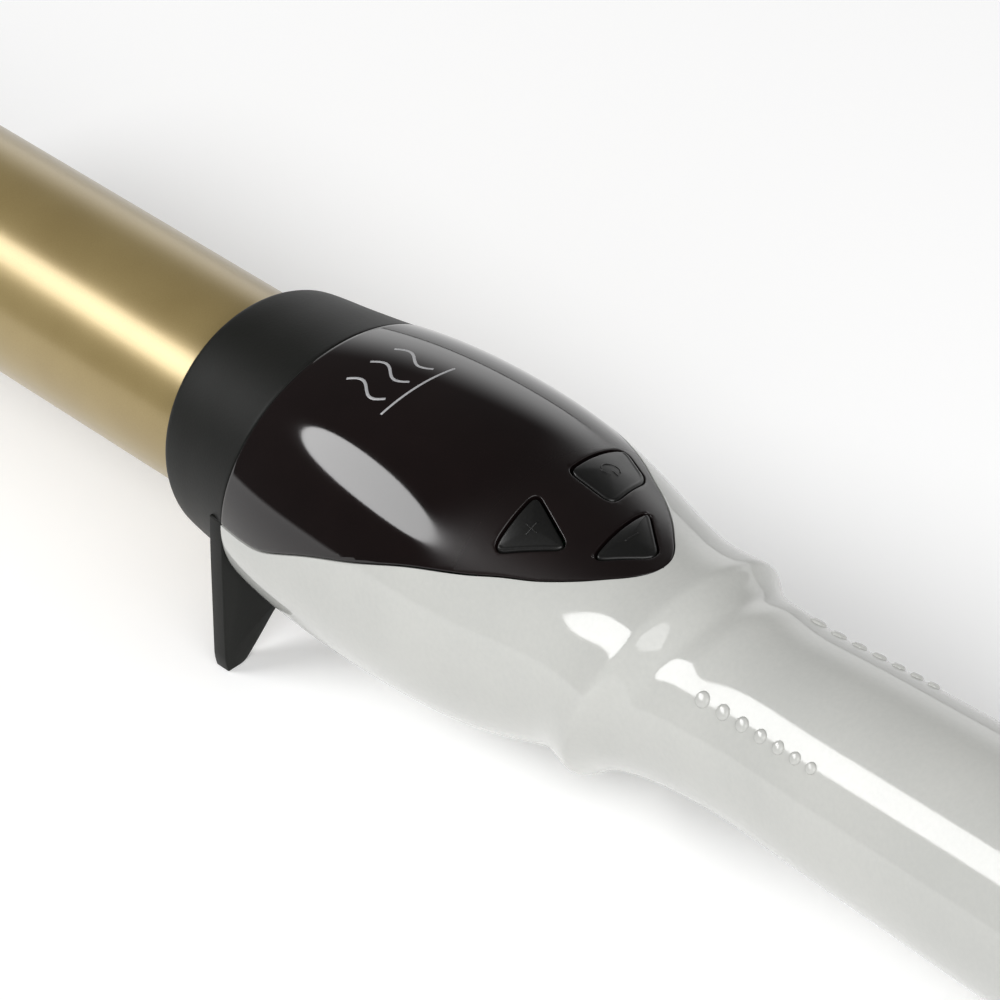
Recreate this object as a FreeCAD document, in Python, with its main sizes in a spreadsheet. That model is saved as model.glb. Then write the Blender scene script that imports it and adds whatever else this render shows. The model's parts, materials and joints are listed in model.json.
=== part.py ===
"""Curling wand with a stand collar, a bulb-headed handle and a swivel cord inlet, as separate pieces.

Every piece is modelled about the wand's own axis: X runs along it from the collar's front plane to the
handle's rear end, Z rises through the control cover and Y crosses it. One rest placement then tips the
whole wand so that the two stand feet and the rim of the handle's rear end meet the plane Z = 0.
"""
import FreeCAD, Part
import math
import os
import Sketcher
from FreeCAD import Placement, Rotation, Vector

DOC = FreeCAD.newDocument("curling_wand")
SHEET = DOC.addObject("Spreadsheet::Sheet", "sizes")

# Driving dimensions in millimetres, turns in degrees.
SIZES = {
    # barrel
    "barrel_radius": 16.0,
    "barrel_wall": 1.0,
    "barrel_front": -140.0,
    "barrel_rear": 14.0,
    # cool tip
    "tip_radius": 15.7,
    "tip_length": 22.0,
    "tip_plug_depth": 10.0,
    "tip_gap": 0.1,
    "bracket_thickness": 0.8,
    "bracket_depth": 4.0,
    "tip_screw_radius": 1.5,
    # heater
    "heater_front": -86.0,
    "heater_length": 64.0,
    "heater_width": 17.0,
    "heater_thickness": 4.0,
    "spreader_radius": 14.7,
    "spreader_wall": 1.2,
    "spreader_web": 1.5,
    "sensor_radius": 1.1,
    # collar and stand
    "collar_wall": 2.0,
    "collar_bore": 16.4,
    "collar_lip": 2.4,
    "leg_thickness": 3.0,
    "foot_outer": 23.0,
    "foot_inner": 19.2,
    "foot_station": 9.6,
    "foot_depth": 29.1,
    # handle
    "shell_wall": 2.5,
    "tail_station": 197.0,
    "tail_radius": 17.4,
    "pip_count": 7.0,
    "pip_first": 111.3,
    "pip_pitch": 4.3,
    "pip_turn": 45.0,
    "pip_radius": 1.25,
    "pip_rise": 0.35,
    "pip_root": 1.2,
    # cover and buttons
    "cover_wall": 2.0,
    "button_gap": 0.18,
    "button_travel": 0.6,
    "flange_top": 11.6,
    "flange_thickness": 0.8,
    "flange_reach": 0.7,
    "stem_radius": 1.3,
    # board
    "board_top": 5.6,
    "board_thickness": 1.6,
    "board_front": 30.0,
    "board_rear": 92.0,
    "board_width": 23.0,
    "switch_side": 6.0,
    "switch_height": 3.4,
    "switch_stem_radius": 1.6,
    "switch_stem_rise": 0.9,
    # swivel
    "gland_radius": 7.5,
    "gland_bore": 3.2,
    "gland_front": 172.0,
    "gland_rear": 221.0,
    "gland_flange_radius": 10.5,
    "gland_flange_front": 193.5,
    "gland_flange_thickness": 2.5,
    "gland_neck_radius": 5.4,
    "running_gap": 0.06,
    "ring_radius": 6.6,
    "ring_width": 2.4,
    "cap_rear": 207.0,
    "screw_radius": 1.3,
    "wire_radius": 0.8,
}
for row, (alias, value) in enumerate(SIZES.items(), start=1):
    SHEET.set(f"A{row}", alias)
    SHEET.set(f"B{row}", str(value))
    SHEET.setAlias(f"B{row}", alias)
DOC.recompute()


def size(alias):
    """Read one driving dimension from the sheet."""
    return float(SHEET.get(alias))


# Each station of the outside is a slanted ring: (station on the axis, radius across, lean, drop).
# A ring's top point is moved rearwards by its lean and its bottom point forwards by the same amount;
# the drop lowers the ring's centre below the axis.
COLLAR_STATIONS = (
    (0.0, 19.5, 0.0, 0.0), (1.2, 19.8, 0.0, 0.0), (5.0, 20.15, 0.0, 0.0), (9.0, 20.7, 0.9, 0.0),
    (13.0, 21.4, 3.1, 0.1), (16.4, 22.0, 5.1, 0.1),
)
HEAD_STATIONS = (
    (16.5, 22.3, 5.15, 0.1), (20.0, 22.9, 5.6, 0.15), (27.0, 23.5, 5.5, 0.1), (36.0, 23.9, 5.0, 0.0),
    (45.0, 24.0, 4.5, 0.1), (55.0, 23.5, 3.8, 0.35), (63.0, 22.6, 3.4, 0.65), (70.0, 21.2, 3.7, 0.9),
    (76.0, 19.8, 5.0, 1.1), (80.0, 18.95, 6.2, 1.2), (84.0, 18.5, 7.6, 1.35), (87.0, 18.75, 8.6, 1.6),
)
FLARE_STATIONS = (
    (87.0, 18.75, 8.6, 1.6), (88.2, 18.95, 9.0, 1.75), (89.4, 19.1, 9.3, 1.9), (90.3, 19.1, 9.45, 2.0),
    (91.0, 18.8, 9.55, 2.03), (91.8, 18.25, 9.6, 2.05), (92.6, 17.7, 9.6, 2.0), (93.5, 17.15, 9.45, 1.9),
    (94.6, 16.6, 9.25, 1.75), (96.0, 16.15, 8.8, 1.5), (98.0, 15.75, 7.95, 1.1), (100.5, 15.4, 6.6, 0.6),
    (103.5, 15.1, 4.7, 0.23), (107.0, 14.85, 2.6, 0.02), (111.0, 14.6, 0.0, 0.0),
)
GRIP_STATIONS = (
    (111.0, 14.6, 0.0, 0.0), (122.0, 14.85, 0.0, 0.0), (134.0, 15.2, 0.0, 0.0),
    (147.0, 15.65, 0.0, 0.0), (160.0, 16.1, 0.0, 0.0), (178.0, 16.75, 0.0, 0.0),
)

PIECES = []


def feature(kind, name, **values):
    """Add one document object; text values are bound as expressions, the rest are set as given."""
    item = DOC.addObject(kind, name)
    for key, value in values.items():
        if isinstance(value, str):
            item.setExpression(key, value)
        else:
            setattr(item, key, value)
    return item


def keep(item, label):
    """Name a finished sub-part and remember it for the rest placement and the export."""
    item.Label = label
    PIECES.append(item)
    return item


def rod(name, radius, length, start, across=(0.0, 0.0)):
    """A cylinder along the wand's axis from the station start."""
    turned = Rotation(Vector(0, 1, 0), 90)
    rod_item = feature("Part::Cylinder", name, Radius=radius, Height=length)
    rod_item.Placement = Placement(Vector(0, across[0], across[1]), turned)
    rod_item.setExpression("Placement.Base.x", start)
    return rod_item


def block(name, length, width, height, corner):
    """A box whose corner is given as three expressions."""
    item = feature("Part::Box", name, Length=length, Width=width, Height=height)
    for axis, place in zip("xyz", corner):
        item.setExpression(f"Placement.Base.{axis}", place)
    return item


def cut(name, base, tool):
    """Base less tool."""
    return feature("Part::Cut", name, Base=base, Tool=tool)


def fuse(name, *items):
    """All items in one solid, or in one group of separate solids."""
    return feature("Part::MultiFuse", name, Shapes=list(items))


def common(name, *items):
    """What all items share."""
    return feature("Part::MultiCommon", name, Shapes=list(items))


def ring(name, station, radius, lean, drop):
    """One slanted elliptical section of the outside."""
    ellipse = feature("Part::Ellipse", name)
    ellipse.MajorRadius = math.hypot(radius, lean) + 1e-6
    ellipse.MinorRadius = radius
    slant = math.atan2(lean, radius)
    down_slope = Vector(-math.sin(slant), 0, -math.cos(slant))
    across = Vector(0, 1, 0)
    turn = Rotation(down_slope, across, down_slope.cross(across), "XYZ")
    ellipse.Placement = Placement(Vector(station, 0, -drop), turn)
    return ellipse


def loft(name, stations, inset=0.0, ruled=False):
    """A solid through slanted rings, each drawn in by the inset; a ruled one is straight between rings."""
    rings = []
    for number, (station, radius, lean, drop) in enumerate(stations):
        share = (radius - inset) / radius
        rings.append(ring(f"{name}_ring_{number}", station, radius - inset, lean * share, drop))
    return feature("Part::Loft", name, Sections=rings, Solid=True, Ruled=ruled)


def outline(name, points, normal, start, length, rounding=0.0, offset=0.0):
    """A prism on a closed outline drawn across the Y or Z axis, moved outwards by the offset."""
    if normal == "Y":
        corners = [Vector(u, start, v) for u, v in points]
        direction = Vector(0, 1, 0)
    else:
        corners = [Vector(u, v, start) for u, v in points]
        direction = Vector(0, 0, 1)
    wire = feature("Part::Feature", f"{name}_wire")
    wire.Shape = Part.Wire(rounded_loop(corners, rounding))
    if offset:
        wire = feature("Part::Offset2D", f"{name}_offset", Source=wire, Value=offset)
    return extrusion(name, wire, direction, length)


def extrusion(name, wire, direction, length):
    """A closed wire pushed along a direction."""
    item = DOC.addObject("Part::Extrusion", name)
    item.Base = wire
    item.DirMode = "Custom"
    item.Dir = direction
    item.LengthFwd = length
    item.Solid = True
    return item


def rounded_loop(corners, rounding):
    """Straight edges between the corners, with an arc of the rounding radius at each corner."""
    count = len(corners)
    edges = []
    arcs = []
    for index, corner in enumerate(corners):
        to_last = (corners[index - 1] - corner).normalize()
        to_next = (corners[(index + 1) % count] - corner).normalize()
        if rounding == 0.0:
            arcs.append((corner, None, corner))
            continue
        half = to_last.getAngle(to_next) / 2
        reach = rounding / math.tan(half)
        inward = (to_last + to_next).normalize()
        middle = corner + inward * (rounding / math.sin(half) - rounding)
        arcs.append((corner + to_last * reach, middle, corner + to_next * reach))
    for index, (first, middle, last) in enumerate(arcs):
        if middle is not None:
            edges.append(Part.Arc(first, middle, last).toShape())
        edges.append(Part.LineSegment(last, arcs[(index + 1) % count][0]).toShape())
    return edges


def wire_tube(name, points, radius, bend):
    """A round wire along straight runs joined by arcs."""
    edges = []
    start = points[0]
    for before, corner, after in zip(points, points[1:], points[2:]):
        to_last = (before - corner).normalize()
        to_next = (after - corner).normalize()
        half = to_last.getAngle(to_next) / 2
        reach = bend / math.tan(half)
        inward = (to_last + to_next).normalize()
        middle = corner + inward * (bend / math.sin(half) - bend)
        edges.append(Part.LineSegment(start, corner + to_last * reach).toShape())
        edges.append(Part.Arc(corner + to_last * reach, middle, corner + to_next * reach).toShape())
        start = corner + to_next * reach
    edges.append(Part.LineSegment(start, points[-1]).toShape())
    path = Part.Wire(edges)
    circle = Part.Wire([Part.Circle(points[0], points[1] - points[0], radius).toShape()])
    item = DOC.addObject("Part::Feature", name)
    item.Shape = path.makePipeShell([circle], True, False)
    return item


def revolved(name, points):
    """A PartDesign body turned about the wand's axis from a half outline of (station, radius) points."""
    body = DOC.addObject("PartDesign::Body", name)
    sketch = body.newObject("Sketcher::SketchObject", f"{name}_sketch")
    plane = next(item for item in body.Origin.OriginFeatures if item.Role == "XZ_Plane")
    sketch.AttachmentSupport = [(plane, "")]
    sketch.MapMode = "FlatFace"
    for first, last in zip(points, points[1:] + points[:1]):
        sketch.addGeometry(Part.LineSegment(Vector(*first, 0), Vector(*last, 0)))
    for index in range(len(points)):
        following = (index + 1) % len(points)
        sketch.addConstraint(Sketcher.Constraint("Coincident", index, 2, following, 1))
    turned = body.newObject("PartDesign::Revolution", f"{name}_turned")
    turned.Profile = sketch
    turned.ReferenceAxis = (sketch, ["H_Axis"])
    turned.Angle = 360.0
    sketch.Visibility = False
    return body


def radial_screws(name, spare):
    """Three short screws that pin the barrel's rear end to its holder, or the holes for them."""
    screws = []
    for number in range(3):
        turn = Rotation(Vector(1, 0, 0), 30 + 120 * number)
        shank = feature("Part::Cylinder", f"{name}_{number}", Height=2.9)
        shank.Radius = size("screw_radius") + spare
        shank.Placement = Placement(turn.multVec(Vector(9.0, 0, 14.4)), turn)
        screws.append(shank)
    return screws


def axial_screws(name, spare):
    """Three screws that hold the chassis to the barrel's holder, or the holes for them."""
    screws = []
    for number in range(3):
        angle = math.radians(90 + 120 * number)
        place = (14.8 * math.sin(angle), 14.8 * math.cos(angle))
        screws.append(rod(f"{name}_{number}", f"sizes.screw_radius + {spare}", "7.6", "21.8", place))
    return screws


def build_barrel():
    """The coated barrel, its cool tip and the bracket that the tip is screwed to."""
    outer = rod("barrel_outer", "sizes.barrel_radius", "sizes.barrel_rear - sizes.barrel_front",
                "sizes.barrel_front")
    bore = rod("barrel_inner", "sizes.barrel_radius - sizes.barrel_wall",
               "sizes.barrel_rear - sizes.barrel_front + 2", "sizes.barrel_front - 1")
    pinned = fuse("barrel_bores", bore, *radial_screws("barrel_screw_hole", 0.02))
    keep(cut("barrel_cut", outer, pinned), "barrel_tube")

    front = size("barrel_front")
    plug = size("barrel_radius") - size("barrel_wall") - size("tip_gap")
    radius = size("tip_radius")
    nose = front - size("tip_length")
    depth = front + size("tip_plug_depth")
    wall = 2.0
    dome = [(nose + 9.0 * (1 - math.cos(angle)), 6.7 + 9.0 * math.sin(angle))
            for angle in (math.radians(step) for step in (12, 30, 50, 70))]
    keep(revolved("cool_tip_body", [
        (nose + 2.0, 1.7), (nose + 2.0, 3.2), (nose, 3.2), (nose, 6.7), *dome, (nose + 9.0, radius),
        (front - 0.1, radius), (front - 0.1, plug), (depth, plug), (depth, plug - wall),
        (nose + 5.0, plug - wall - 3.0), (nose + 5.0, 1.7),
    ]), "cool_tip")

    bracket_front = depth + 0.4
    bracket_rear = bracket_front + size("bracket_depth")
    thickness = size("bracket_thickness")
    rim = size("barrel_radius") - size("barrel_wall") - 0.03
    thread = size("tip_screw_radius")
    keep(revolved("tip_bracket_body", [
        (bracket_front, thread + 0.02), (bracket_front, rim), (bracket_rear, rim),
        (bracket_rear, rim - thickness), (bracket_front + thickness, rim - thickness),
        (bracket_front + thickness, thread + 0.02),
    ]), "tip_bracket")
    keep(revolved("tip_screw_body", [
        (nose + 0.6, 0.0), (nose + 0.6, 2.9), (nose + 2.0, 2.9), (nose + 2.0, thread),
        (bracket_front + 3.0, thread), (bracket_front + 3.0, 0.0),
    ]), "tip_screw")


def build_heater():
    """The heater pack between two half-round spreaders, its springs, sensor and fuse."""
    keep(block("heater_pack", "sizes.heater_length", "sizes.heater_width", "sizes.heater_thickness",
               ("sizes.heater_front", "-sizes.heater_width / 2", "-sizes.heater_thickness / 2")),
         "heater_core")
    for label, side in (("upper_heat_spreader", 1), ("lower_heat_spreader", -1)):
        half = rod(f"{label}_round", "sizes.spreader_radius", "sizes.heater_length", "sizes.heater_front")
        slab = block(f"{label}_slab", "sizes.heater_length + 2", "40", "20",
                     ("sizes.heater_front - 1", "-20",
                      "sizes.heater_thickness / 2" if side > 0 else "-20 - sizes.heater_thickness / 2"))
        round_room = rod(f"{label}_round_room", "sizes.spreader_radius - sizes.spreader_wall",
                         "sizes.heater_length + 2", "sizes.heater_front - 1")
        web = "(sizes.heater_thickness / 2 + sizes.spreader_web)"
        slab_room = block(f"{label}_slab_room", "sizes.heater_length + 2", "40", "20",
                          ("sizes.heater_front - 1", "-20", web if side > 0 else f"-20 - {web}"))
        room = common(f"{label}_room", round_room, slab_room)
        keep(cut(f"{label}_cut", common(f"{label}_half", half, slab), room), label)
    strips = []
    for side in (-1, 1):
        place = side * (size("heater_width") / 2 + 1.1) - 0.25
        strips.append(block(f"spring_strip_{side + 2}", "sizes.heater_length - 8", "0.5",
                            "sizes.heater_thickness - 0.1",
                            ("sizes.heater_front + 4", str(place), "-sizes.heater_thickness / 2 + 0.05")))
    keep(fuse("spring_strips", *strips), "heater_springs")
    sensor = rod("sensor_bead", "sizes.sensor_radius", "5", "sizes.heater_front + sizes.heater_length - 6",
                 (0.0, 4.7))
    keep(sensor, "temperature_sensor")
    keep(rod("fuse_barrel", "1.9", "11", "sizes.heater_front + sizes.heater_length + 8", (0.0, -7.0)),
         "thermal_fuse")


def build_collar():
    """The heat collar and its two stand legs in one moulding, and what holds the barrel inside it."""
    outside = loft("collar_outside", COLLAR_STATIONS, ruled=True)
    rear = COLLAR_STATIONS[-1]
    slope = rear[2] / rear[1]
    depth = size("foot_depth")
    outer = size("foot_outer")
    inner = size("foot_inner")
    thick = size("leg_thickness")
    legs = []
    for side in (-1, 1):
        points = [(side * y, z) for y, z in (
            (19.0, 2.0), (21.9, 2.0), (22.5, -9.0), (outer, -depth + 2.6), (outer - 0.4, -depth - 1.5),
            (inner, -depth - 1.5), (15.2, -depth + 4.4), (11.5, -depth + 8.0), (8.0, -19.6), (13.0, -15.0))]
        sheared = [Vector(rear[0] + slope * z, y, z) for y, z in points]
        loop = feature("Part::Feature", f"leg_wire_{side + 2}")
        loop.Shape = Part.makePolygon(sheared + sheared[:1])
        legs.append(extrusion(f"leg_{side + 2}", loop, Vector(-1, 0, 0), thick))
    solid = fuse("collar_solid", outside, *legs)
    behind_lip = ((size("collar_lip"), *COLLAR_STATIONS[0][1:]),) + COLLAR_STATIONS[2:]
    hollow = loft("collar_hollow", behind_lip, size("collar_wall"), ruled=True)
    stretch = rod("collar_rear_room", "17.2", "12", "12")
    bore = rod("collar_bore_tool", "sizes.collar_bore", "30", "-5")
    hollowed = cut("collar_hollowed", solid, fuse("collar_room", hollow, stretch, bore))
    keep(cut("collar_trimmed", hollowed, table_slab("collar_table")), "collar_stand")

    holder = revolved("barrel_holder_body", [
        (2.6, 16.03), (2.6, 17.3), (24.0, 17.3), (24.0, 12.0), (22.0, 12.0), (22.0, 13.0),
        (16.0, 13.0), (16.0, 14.4), (14.1, 14.4), (14.1, 16.03),
    ])
    holder_bores = fuse("holder_bores", *radial_screws("holder_hole", 0.02),
                        *axial_screws("holder_axial_hole", 0.02))
    keep(cut("holder_cut", holder, holder_bores), "barrel_holder")
    disc = rod("disc_round", "14.3", "1.2", "14.2")
    holes = fuse("disc_holes", rod("disc_hole_1", "1.6", "4", "13", (-5.0, 3.0)),
                 rod("disc_hole_2", "1.6", "4", "13", (5.0, 3.0)))
    keep(cut("disc_cut", disc, holes), "insulation_disc")
    keep(fuse("barrel_screw_set", *radial_screws("barrel_screw", 0.0)), "barrel_screws")
    keep(fuse("chassis_screw_set", *axial_screws("chassis_screw", 0.0)), "chassis_screws")


def table_slab(name):
    """Everything below the plane that the feet rest on."""
    slab = feature("Part::Box", name, Length=400.0, Width=120.0, Height=40.0)
    lean = rest_angle()
    turn = Rotation(Vector(0, 1, 0), -lean)
    corner = turn.multVec(Vector(-100.0, -60.0, -40.0))
    slab.Placement = Placement(corner + Vector(size("foot_station"), 0, -size("foot_depth")), turn)
    return slab


def rest_angle():
    """The angle between the wand's axis and the table, in degrees."""
    rise = size("foot_depth") - size("tail_radius")
    return math.degrees(math.atan2(rise, size("tail_station") - size("foot_station")))


# The seam between the cover and the shell: seen from the side as far back as SEAM_TURN, and seen from
# above behind it.
SEAM_TURN = 48.0
SEAM_SIDE = ((10.0, 1.3), (26.0, 1.9), (38.2, 6.5), (48.0, 9.7))
SEAM_TOP = ((48.0, 21.9), (58.4, 19.5), (66.0, 17.1), (73.8, 13.8), (82.3, 9.5), (87.7, 6.3))
SEAM_APEX = ((91.4, 3.3), (93.1, 0.0))


def seam_prism(name, gap):
    """The room above the seam, drawn in by the gap."""
    side = [(u, v + gap) for u, v in SEAM_SIDE] + [(60.0, 9.7), (110.0, 9.7), (110.0, 60.0), (10.0, 60.0)]
    from_side = outline(f"{name}_side", side, "Y", -60.0, 120.0)
    near = [(u, -v + gap) for u, v in SEAM_TOP] + [(SEAM_APEX[0][0] - gap, -SEAM_APEX[0][1])]
    far = [(u, -v) for u, v in reversed(near)]
    apex = [(SEAM_APEX[1][0] - gap, 0.0)]
    front = [(48.0, 40.0), (10.0, 40.0), (10.0, -40.0), (48.0, -40.0)]
    from_above = outline(f"{name}_above", near + apex + far + front, "Z", -5.0, 60.0)
    return common(name, from_side, from_above)


def grip_radius(station):
    """The grip's radius at a station between its waist and the fourth ring."""
    waist, waist_radius = GRIP_STATIONS[0][:2]
    rear, rear_radius = GRIP_STATIONS[3][:2]
    return waist_radius + (station - waist) / (rear - waist) * (rear_radius - waist_radius)


def build_handle():
    """The one-piece white shell with an opening on top of its head, and its grip pips."""
    tail = (size("tail_station"), size("tail_radius"), 0.0, 0.0)
    grip = GRIP_STATIONS + (tail,)
    wall = size("shell_wall")
    head = loft("head_outside", HEAD_STATIONS)
    flare = loft("flare_outside", FLARE_STATIONS, ruled=True)
    grip_outside = loft("grip_outside", grip)
    head_room = loft("head_inside", HEAD_STATIONS, wall)
    flare_room = loft("flare_inside", FLARE_STATIONS, wall, ruled=True)
    grip_room = loft("grip_inside", grip, wall)
    solid = fuse("handle_solid", head, flare, grip_outside)
    room = fuse("handle_room", head_room, flare_room, grip_room)
    skin = cut("handle_skin", solid, room)
    opened = cut("handle_opened", skin, seam_prism("handle_opening", 0.0))
    pips = []
    for side in (-1, 1):
        for number in range(int(size("pip_count"))):
            station = size("pip_first") + number * size("pip_pitch")
            radius = grip_radius(station)
            turn = Rotation(Vector(1, 0, 0), side * size("pip_turn"))
            pip = feature("Part::Cylinder", f"pip_{side + 1}_{number}")
            pip.Radius = size("pip_radius") - 0.05 * number
            pip.Height = size("pip_rise") + size("pip_root")
            foot = turn.multVec(Vector(0, 0, radius - size("pip_root")))
            pip.Placement = Placement(Vector(station, 0, 0) + foot, turn)
            pips.append(pip)
    keep(fuse("handle_with_pips", opened, *pips), "handle_shell")


BUTTONS = {
    "power_button": ((69.9, 2.9), (67.0, 14.9), (75.4, 12.1), (78.9, 3.4)),
    "plus_button": ((70.3, -2.8), (80.6, -6.1), (70.9, -12.9)),
    "minus_button": ((84.0, -5.7), (81.7, 7.2), (91.3, 1.1)),
}
BUTTON_ROUNDING = 1.5


def button_middle(points):
    """The middle of a button's outline."""
    return sum(p[0] for p in points) / len(points), sum(p[1] for p in points) / len(points)


def build_cover_and_buttons():
    """The gloss cover with three apertures and the push buttons that fill them."""
    skin = cut("cover_skin", loft("cover_outside", HEAD_STATIONS),
               loft("cover_inside", HEAD_STATIONS, size("cover_wall")))
    blank = common("cover_blank", skin, seam_prism("cover_seam", 0.12))
    windows = [outline(f"{name}_window", points, "Z", 0.0, 40.0, BUTTON_ROUNDING)
               for name, points in BUTTONS.items()]
    keep(cut("cover_cut", blank, fuse("cover_windows", *windows)), "control_cover")

    top = size("flange_top")
    thick = size("flange_thickness")
    switch_top = size("board_top") + size("switch_height") + size("switch_stem_rise")
    for name, points in BUTTONS.items():
        column = outline(f"{name}_column", points, "Z", top, 20.0, BUTTON_ROUNDING, -size("button_gap"))
        cap = common(f"{name}_cap", loft(f"{name}_crown", HEAD_STATIONS), column)
        flange = outline(f"{name}_flange", points, "Z", top - thick, thick + 0.01, BUTTON_ROUNDING,
                         size("flange_reach"))
        u, v = button_middle(points)
        stem = feature("Part::Cylinder", f"{name}_stem", Radius="sizes.stem_radius")
        low = switch_top + size("button_travel") + 0.1
        stem.Height = top - low
        stem.Placement = Placement(Vector(u, v, low), Rotation())
        keep(fuse(f"{name}_whole", cap, flange, stem), name)


def build_board():
    """The carrier, the board and what is soldered on it."""
    top = size("board_top")
    thick = size("board_thickness")
    under = top - thick
    front = size("board_front")
    width = size("board_width")

    plate = block("board_plate", "sizes.board_rear - sizes.board_front", "sizes.board_width",
                  "sizes.board_thickness", ("sizes.board_front", "-sizes.board_width / 2",
                                            "sizes.board_top - sizes.board_thickness"))
    screw_places = [(front + 4.0, width / 2 - 3.0), (front + 4.0, 3.0 - width / 2),
                    (size("board_rear") - 28.0, width / 2 - 3.0), (size("board_rear") - 28.0, 3.0 - width / 2)]
    holes = []
    screws = []
    for number, (u, v) in enumerate(screw_places):
        hole = feature("Part::Cylinder", f"board_hole_{number}", Height=4.0)
        hole.Radius = size("screw_radius") + 0.15
        hole.Placement = Placement(Vector(u, v, under - 1), Rotation())
        holes.append(hole)
        shank = feature("Part::Cylinder", f"board_screw_shank_{number}", Radius="sizes.screw_radius",
                        Height=6.0)
        shank.Placement = Placement(Vector(u, v, top - 6.0 + 0.02), Rotation())
        head = feature("Part::Cylinder", f"board_screw_head_{number}", Radius=2.3, Height=1.5)
        head.Placement = Placement(Vector(u, v, top + 0.02), Rotation())
        screws.append(fuse(f"board_screw_{number}", shank, head))
    keep(cut("board_cut", plate, fuse("board_holes", *holes)), "circuit_board")
    keep(fuse("board_screw_set", *screws), "board_screws")

    rail_length = screw_places[2][0] - screw_places[0][0] + 6.0
    rails = []
    pilots = []
    for side in (-1, 1):
        middle = side * (width / 2 - 3.0)
        rail = feature("Part::Box", f"chassis_rail_{side + 1}", Length=rail_length, Width=5.0, Height=6.0)
        rail.Placement = Placement(Vector(front + 1.0, middle - 2.5, under - 6.0), Rotation())
        rails.append(rail)
    for number, (u, v) in enumerate(screw_places):
        pilot = feature("Part::Cylinder", f"chassis_pilot_{number}", Height=7.0)
        pilot.Radius = size("screw_radius") + 0.02
        pilot.Placement = Placement(Vector(u, v, under - 4.6), Rotation())
        pilots.append(pilot)
    for number, (station, reach) in enumerate(((front + 1.0, 29.0), (front + 25.0, width))):
        bridge = feature("Part::Box", f"chassis_bridge_{number}", Length=4.0, Width=reach, Height=3.0)
        bridge.Placement = Placement(Vector(station, -reach / 2, under - 8.5), Rotation())
        rails.append(bridge)
    spigot = rod("chassis_collar", "16.6", "9.0", "24.1")
    spigot_room = rod("chassis_collar_room", "12.8", "11.0", "23.0")
    rails.append(cut("chassis_spigot", spigot, spigot_room))
    bores = fuse("chassis_bores", *pilots, *axial_screws("chassis_axial_hole", 0.02))
    keep(cut("chassis_cut", fuse("chassis_solid", *rails), bores), "chassis")

    side = size("switch_side")
    switches = []
    for name, points in BUTTONS.items():
        u, v = button_middle(points)
        body = feature("Part::Box", f"{name}_switch_body", Length=side, Width=side)
        body.Height = size("switch_height")
        body.Placement = Placement(Vector(u - side / 2, v - side / 2, top), Rotation())
        stem = feature("Part::Cylinder", f"{name}_switch_stem", Radius="sizes.switch_stem_radius")
        stem.Height = size("switch_stem_rise")
        stem.Placement = Placement(Vector(u, v, top + size("switch_height")), Rotation())
        switches.append(fuse(f"{name}_switch", body, stem))
    keep(fuse("switch_set", *switches), "tact_switches")

    keep(block("chip_block", "7", "7", "1.4", ("50", "-3.5", "sizes.board_top")), "controller_chip")
    keep(block("triac_block", "10", "4.6", "10", ("70", "-8",
                                                  "sizes.board_top - sizes.board_thickness - 10")),
         "power_triac")
    keep(block("capacitor_block", "17", "7", "11", ("70", "0",
                                                    "sizes.board_top - sizes.board_thickness - 11")),
         "filter_capacitor")


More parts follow.
